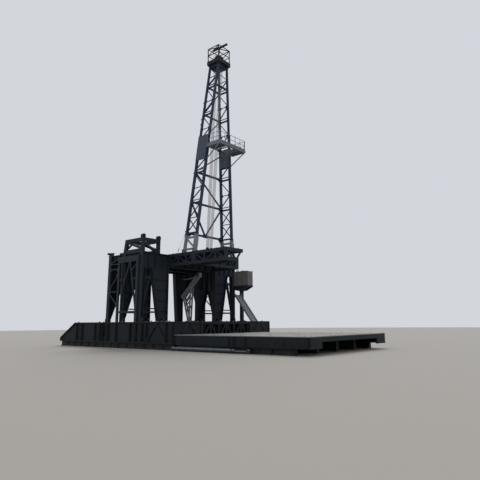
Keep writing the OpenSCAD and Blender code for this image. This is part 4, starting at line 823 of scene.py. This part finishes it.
def rope_lay(mesh):
    """The rope's UV map: the share of the way round, and metres along it."""
    corners = np.empty(len(mesh.loops), int)
    mesh.loops.foreach_get("vertex_index", corners)
    places = np.empty(len(mesh.vertices) * 3)
    mesh.vertices.foreach_get("co", places)
    starts, totals = np.empty((2, len(mesh.polygons)), int)
    mesh.polygons.foreach_get("loop_start", starts)
    mesh.polygons.foreach_get("loop_total", totals)
    side = corners % ROPE_SIDES
    share = side / ROPE_SIDES
    for step in (1, 2):                      # the two corners past the seam count as a whole turn
        second = starts[totals == 4] + step
        share[second] = np.where(side[second] == 0, 1.0, share[second])
    return np.stack([share, places.reshape(-1, 3)[corners, 2]], 1)


single("hoist_ropes", "bare_steel", [
    carried(rope_low, rope_high, round_bar(ROPE_RADIUS, ROPE_SIDES))], ROPE,
      stands_for=["drilling_lines"], uv=rope_lay)
# a thin stay on each side, from the foot of the rear post down to an eye on the deck, with a
# turnbuckle and a shackle at its lower end
stay_top = post_point(False, 11.2, behind=0.24)
stay_foot = np.array([-1.75, 2.95, DECK + 0.06])
stay_run = unit(stay_foot - stay_top)
turnbuckle = stay_foot - stay_run * 0.55
piece("stay_wires", "bare_steel", [
    carried(stay_top, turnbuckle, round_bar(0.011, 8)),
    turned(turnbuckle, stay_run, [[-0.02, 0.012], [0, 0.03], [0.05, 0.034], [0.3, 0.034],
                                  [0.35, 0.03], [0.37, 0.012], [0.5, 0.012]], 14),
    pipe(circle_path(stay_foot + 0.005 * DOWN, AHEAD, UP, 0.04, 16), 0.01, 8, loop=True,
         near=LEFT)], ZINC)
piece("stay_eyes", "deck_steel", [
    eyes(stay_foot + 0.01 * UP, UP, LEFT, 0.1, 0.075, 0.022, 0.02),
    eyes(stay_top + 0.03 * AHEAD, BACK, LEFT, 0.1, 0.11, 0.022, 0.02)])
# the travelling block: shaft caps and the bolts of its cheeks
piece("block_caps", "crown_paint", [
    turned(block + 0.296 * LEFT, LEFT,
           [[0, 0.13], [0.02, 0.13], [0.026, 0.122], [0.03, 0.08], [0.05, 0.07]], 24)])
piece("block_bolts", "bare_steel", [
    bolts(circle_path(block + 0.32 * LEFT, AHEAD, UP, 0.105, 6), LEFT, 0.013),
    bolts(rows([WELL - 0.24, WELL + 0.24], 0.296, [DECK + 0.2, DECK + 0.4]), LEFT, 0.018)], ZINC)

# the raising gantries: rims and bolts on the round heads, bolts at the feet of the posts
heads = np.concatenate([rows(PORTALS[0], GANTRY_POSTS, GANTRY_HEADS),
                        rows(PORTALS[0] - 2.36, GANTRY_POSTS[0], GANTRY_HEADS)])
rim = [[0, 0.21], [0.012, 0.21], [0.018, 0.204], [0.018, 0.16], [0.006, 0.15], [0.006, 0.07],
       [0.03, 0.066], [0.036, 0.055]]
piece("gantry_head_rims", "frame_steel", [
    turned(heads + side * 0.13 * AHEAD, side * AHEAD, rim, 28) for side in (1, -1)])
piece("gantry_head_bolts", "bare_steel", [
    bolts(circle_path(head + 0.136 * AHEAD, LEFT, UP, 0.11, 6), AHEAD, 0.013) for head in heads],
      FINISHES["frame_steel"])
gantry_feet = rows([PORTALS[0] - 0.18, PORTALS[0] + 0.18], GANTRY_POSTS, 8.99)
piece("gantry_foot_bolts", "bare_steel", [
    bolts(gantry_feet + d * LEFT, UP, 0.02) for d in (-0.1, 0.1)], FINISHES["frame_steel"])

# the platform: raised seams between the deck's plates
rear, front, right, left, top = PLATFORM
single("platform_seams", "deck_grey", [
    runs(np.arange(rear + 1.5, front - 0.5, 1.5), (right + 0.02, left - 0.02), top,
         flat_bar(0.035, 0.01, 0.003)),
    runs((rear + 0.02, front - 0.02), [right + 4.1, right + 8.2], top,
         flat_bar(0.03, 0.008, 0.002))])
# lashing rings, each held to its plate by a bow
ring_at = rows(np.linspace(rear + 0.9, front - 0.9, 5),
               np.linspace(right + 0.8, left - 0.8, 4), top + 0.016)
single("platform_lashing_rings", "bare_steel", [
    pipe(circle_path(place + 0.05 * AHEAD, (1, 0, 0.12), LEFT, 0.07, 18), 0.013, 8, loop=True,
         near=(0.1, 0, 1)) for place in ring_at], ZINC)
bow = np.array([[-0.02, -0.06, -0.02], [-0.02, 0, 0.02], [-0.02, 0.06, -0.02]])
single("platform_ring_saddles", "deck_grey", [
    plates(ring_at - (0.02, 0, 0.016), UP, 0.11, 0.09, 0.012),
    [pipe(place + bow, 0.012, 8) for place in ring_at]])
# the bolted joint in the middle of the long sides: two columns of bolts, and a plate between
joint_x = np.array([8.8135, 10.0325])
bolt_x = np.concatenate([joint_x - 0.085, joint_x, joint_x + 0.085])
bolt_z = 0.6 + 0.12 * np.arange(5)
single("platform_joint_bolts", "bare_steel", [
    bolts(rows(bolt_x, right, bolt_z), RIGHT, 0.022),
    bolts(rows(bolt_x, left, bolt_z), LEFT, 0.022)], FINISHES["base_steel"])
single("platform_joint_plates", "base_steel", [
    plates([joint_x.mean(), right + 0.09, PLATFORM_MIDDLE], RIGHT, 1.0, 0.5, 0.02)])
# smooth panels with round corners over the ribs, on both sides of the bolted joint
single("platform_side_panels", "base_steel", [
    runs((x0 + x1) / 2, (y + side * 0.002, y - side * 0.012), PLATFORM_MIDDLE,
         rounded_plate(x1 - x0, 0.68, 0.2), bevel=0.003)
    for x0, x1 in ((rear + 0.12, joint_x[0] - 0.3), (joint_x[1] + 0.3, front - 0.12))
    for y, side in ((right, 1), (left, -1))])
# lifting trunnions on the right side, each on a backing plate
trunnions = rows([3.35, 13.57], right - 0.01, 0.78)
single("platform_trunnions", "skid_steel", [
    turned(trunnions, RIGHT, [[-0.03, 0.07], [0.0, 0.07], [0.02, 0.055], [0.05, 0.055],
                              [0.052, 0.075], [0.07, 0.075], [0.075, 0.068]], 20),
    plates(trunnions, RIGHT, 0.13, 0.5, 0.02)])
single("platform_edge_welds", "base_steel", [
    runs((rear + 0.05, front - 0.02), right + 0.05, [0.528, 1.175], round_bar(0.012, 6))])
single("platform_corner_eyes", "deck_grey", [
    eyes(rows([front - 0.1, rear + 0.1], [right + 0.3, left - 0.3], top + 0.02), UP, AHEAD,
         0.1, 0.025, 0.024, 0.025)])

# the slide: bolts along its cheeks, hooks over the bar at its top, round rims
slide_top, slide_foot = np.array([-0.5497, 4.6, 5.15]), np.array([1.65, 4.6, 2.4])
slide_run = slide_foot - slide_top
spots = slide_top + np.linspace(0.08, 0.92, 12)[:, None] * slide_run + (0.02, 0, 0.03)
single("slide_bolts", "bare_steel", [
    bolts(spots, RIGHT, 0.014), bolts(spots + SLIDE_WIDTH * LEFT, LEFT, 0.014)], ZINC)
single("slide_hooks", "pale_paint", [
    pipe(bent([[-0.45, y, 5.2], [-0.5, y, 5.29], [-0.7, y, 5.27], [-0.7, y, 5.08]], 0.05),
         0.022, 10, near=LEFT) for y in (4.72, 5.48)])
single("slide_rims", "pale_paint", [
    carried(slide_top + (0, y, 0.175), slide_foot + (0.1, y, 0.02), round_bar(0.03, 10))
    for y in (0.025, SLIDE_WIDTH - 0.025)])

# the tank: hatch with a handle, filler pipe, level gauge and drain
TANK_REAR, TANK_FRONT, TANK_INNER, TANK_OUTER = -1.38, 0.6, 5.37, 6.27
TANK_LOW, TANK_TOP = 6.26, 7.8
hatch = np.array([(TANK_REAR + TANK_FRONT) / 2, (TANK_INNER + TANK_OUTER) / 2, TANK_TOP])
handle = [[-0.12, 0, 0.1], [-0.12, 0, 0.17], [0.12, 0, 0.17], [0.12, 0, 0.1]]
single("tank_hatch", "tank_paint", [
    turned(hatch + 0.055 * UP, UP,
           [[0, 0.28], [0.02, 0.28], [0.03, 0.27], [0.05, 0.2], [0.056, 0.0995]], 32),
    pipe(bent(hatch + handle, 0.04), 0.011, 8, near=LEFT)])
filler = np.array([TANK_REAR, TANK_INNER + 0.3, TANK_TOP])
single("tank_filler", "pale_paint", [
    pipe(bent(filler + [[0.45, 0, -0.02], [0.45, 0, 0.16], [0.2, 0, 0.16]], 0.08), 0.05, 16,
         near=LEFT),
    turned(filler + (0.22, 0, 0.16), BACK,
           [[0, 0.05], [0.0, 0.085], [0.018, 0.085], [0.02, 0.05]], 20)])
gauge = [(-0.01, TANK_TOP - 0.2), (0.055, TANK_TOP - 0.2), (0.055, TANK_LOW + 0.2),
         (-0.01, TANK_LOW + 0.2)]
single("tank_gauge", "bare_steel", [
    pipe(bent([[TANK_FRONT + x, TANK_INNER + 0.32, z] for x, z in gauge], 0.04), 0.014, 10,
         near=LEFT)], ZINC)
single("tank_drain", "pale_paint", [
    turned([TANK_FRONT - 0.4, TANK_INNER + 0.25, TANK_LOW + 0.01], DOWN,
           [[0, 0.05], [0.1, 0.05], [0.1, 0.07], [0.12, 0.07], [0.12, 0.05], [0.16, 0.055],
            [0.22, 0.055], [0.26, 0.04], [0.34, 0.04]], 18)])
# bolts along the tank's rims, and swages pressed out of its sheets
rim_x, rim_z = np.arange(TANK_REAR + 0.05, TANK_FRONT, 0.19), TANK_TOP - 0.03
single("tank_rim_bolts", "bare_steel", [
    bolts(rows(rim_x, TANK_INNER - 0.035, rim_z), RIGHT, 0.011),
    bolts(rows(rim_x, TANK_OUTER + 0.035, rim_z), LEFT, 0.011)], ZINC)
swage, swage_z = round_bar(0.016, 8), [TANK_LOW + 0.5, TANK_LOW + 1.0]
single("tank_swages", "tank_paint", [
    runs((TANK_REAR + 0.03, TANK_FRONT - 0.03), TANK_INNER, swage_z, swage),
    runs(TANK_FRONT, (TANK_INNER + 0.03, TANK_OUTER - 0.03), swage_z, swage)])
# foundation bolts at the corners of the stand
corner = np.array([-0.28, 0.28])
single("stand_bolts", "bare_steel", [
    bolts(rows(STAND[0] + corner, STAND[1] + corner, 2.45), UP, 0.026)], ZINC)

# the near loose strut: sleeve of oiled rod, gland with its bolts, bushes in the eyes
single("strut_rod_sleeve", "bare_steel", [
    turned(STRUT_HEAD + 1.57 * BACK, AHEAD,
           [[0, 0.0812], [1.4, 0.0812], [1.402, 0.0806]], 40)], ROD)
single("strut_glands", "skid_steel", [
    turned(STRUT_HEAD + 1.62 * BACK, AHEAD, [[0, 0.1], [0, 0.146], [0.012, 0.15], [0.07, 0.15],
                                             [0.08, 0.142], [0.08, 0.1]], 32)])
single("strut_gland_bolts", "bare_steel", [
    bolts(circle_path(STRUT_HEAD + 1.54 * BACK, LEFT, UP, 0.122, 12), AHEAD, 0.012)], ZINC)
# an oil pipe along the barrel, in three clips
port = [STRUT_FOOT + (0.62, 0.05, 0.12), STRUT_FOOT + (0.62, 0.05, 0.17),
        STRUT_HEAD + (-1.95, 0.05, 0.17), STRUT_HEAD + (-1.95, 0.05, 0.12)]
clips = STRUT_FOOT + [(x, 0.05, 0.12) for x in (1.6, 2.9, 4.6)]
single("strut_oil_pipe", "bare_steel", [
    pipe(bent(port, 0.03), 0.013, 10, near=LEFT),
    plates(clips, UP, 0.08, 0.05, 0.04)], ZINC)
bushes = np.stack([STRUT_FOOT + 0.17 * AHEAD, STRUT_HEAD + 1.5 * BACK, STRUT_HEAD])
single("strut_bushes", "bare_steel", [
    turned(bushes + 0.081 * RIGHT, LEFT,
           [[0, 0.1], [0.162, 0.1], [0.162, 0.066], [0, 0.066]], 28, loop=True)])

# the raising arm between the legs: caps on its pin
piece("arm_pin_caps", "bare_steel", [
    turned([-1.49, 0.26, 7.12], LEFT, [[0, 0.13], [0.006, 0.15], [0.022, 0.15], [0.028, 0.14],
                                       [0.028, 0.07], [0.04, 0.064]], 26)])

# ---------------------------------------------------------------- floor and light


def make_ground():
    """A plain pale disc just under the rig, wide enough to reach the horizon."""
    rim = circle_path((0, 0, -0.002), AHEAD, LEFT, 150.0, 96)
    mesh = bpy.data.meshes.new("ground")
    mesh.from_pydata(rim.tolist(), [], [list(range(96))])
    material, tree, shader, _ = start_finish("pale_floor")
    set_inputs(tree, shader, {"Base Color": linear("#aba69f"), "Roughness": 0.92})
    mesh.materials.append(material)
    new_object("ground", mesh)


def make_light():
    """An even pale sky, and a broad soft lamp that stands behind the rig on the left."""
    world = bpy.data.worlds.new("studio")
    world.use_nodes = True
    bpy.context.scene.world = world
    tree = world.node_tree
    tree.nodes.clear()
    seen = add(tree, "ShaderNodeLightPath", out="Is Camera Ray")
    for ray in ("Is Glossy Ray", "Is Transmission Ray"):
        seen = add(tree, MATHS, {"operation": "MAXIMUM"}, _0=seen,
                   _1=add(tree, "ShaderNodeLightPath", out=ray))
    lit = add(tree, "ShaderNodeBackground", {"Color": linear("#e2e4e8"), "Strength": 0.8})
    shown = add(tree, "ShaderNodeBackground", {"Color": linear("#d3d6dc"), "Strength": 1.0})
    pick = add(tree, "ShaderNodeMixShader", _0=seen, _1=lit, _2=shown)
    add(tree, "ShaderNodeOutputWorld", Surface=pick)
    sun = bpy.data.lights.new("soft_lamp", "SUN")
    sun.energy = 1.2
    sun.angle = math.radians(35)
    lamp = new_object("soft_lamp", sun)
    lamp.rotation_euler = (math.radians(42), 0, math.radians(215))


make_ground()
make_light()
bpy.context.scene.view_settings.view_transform = "Standard"
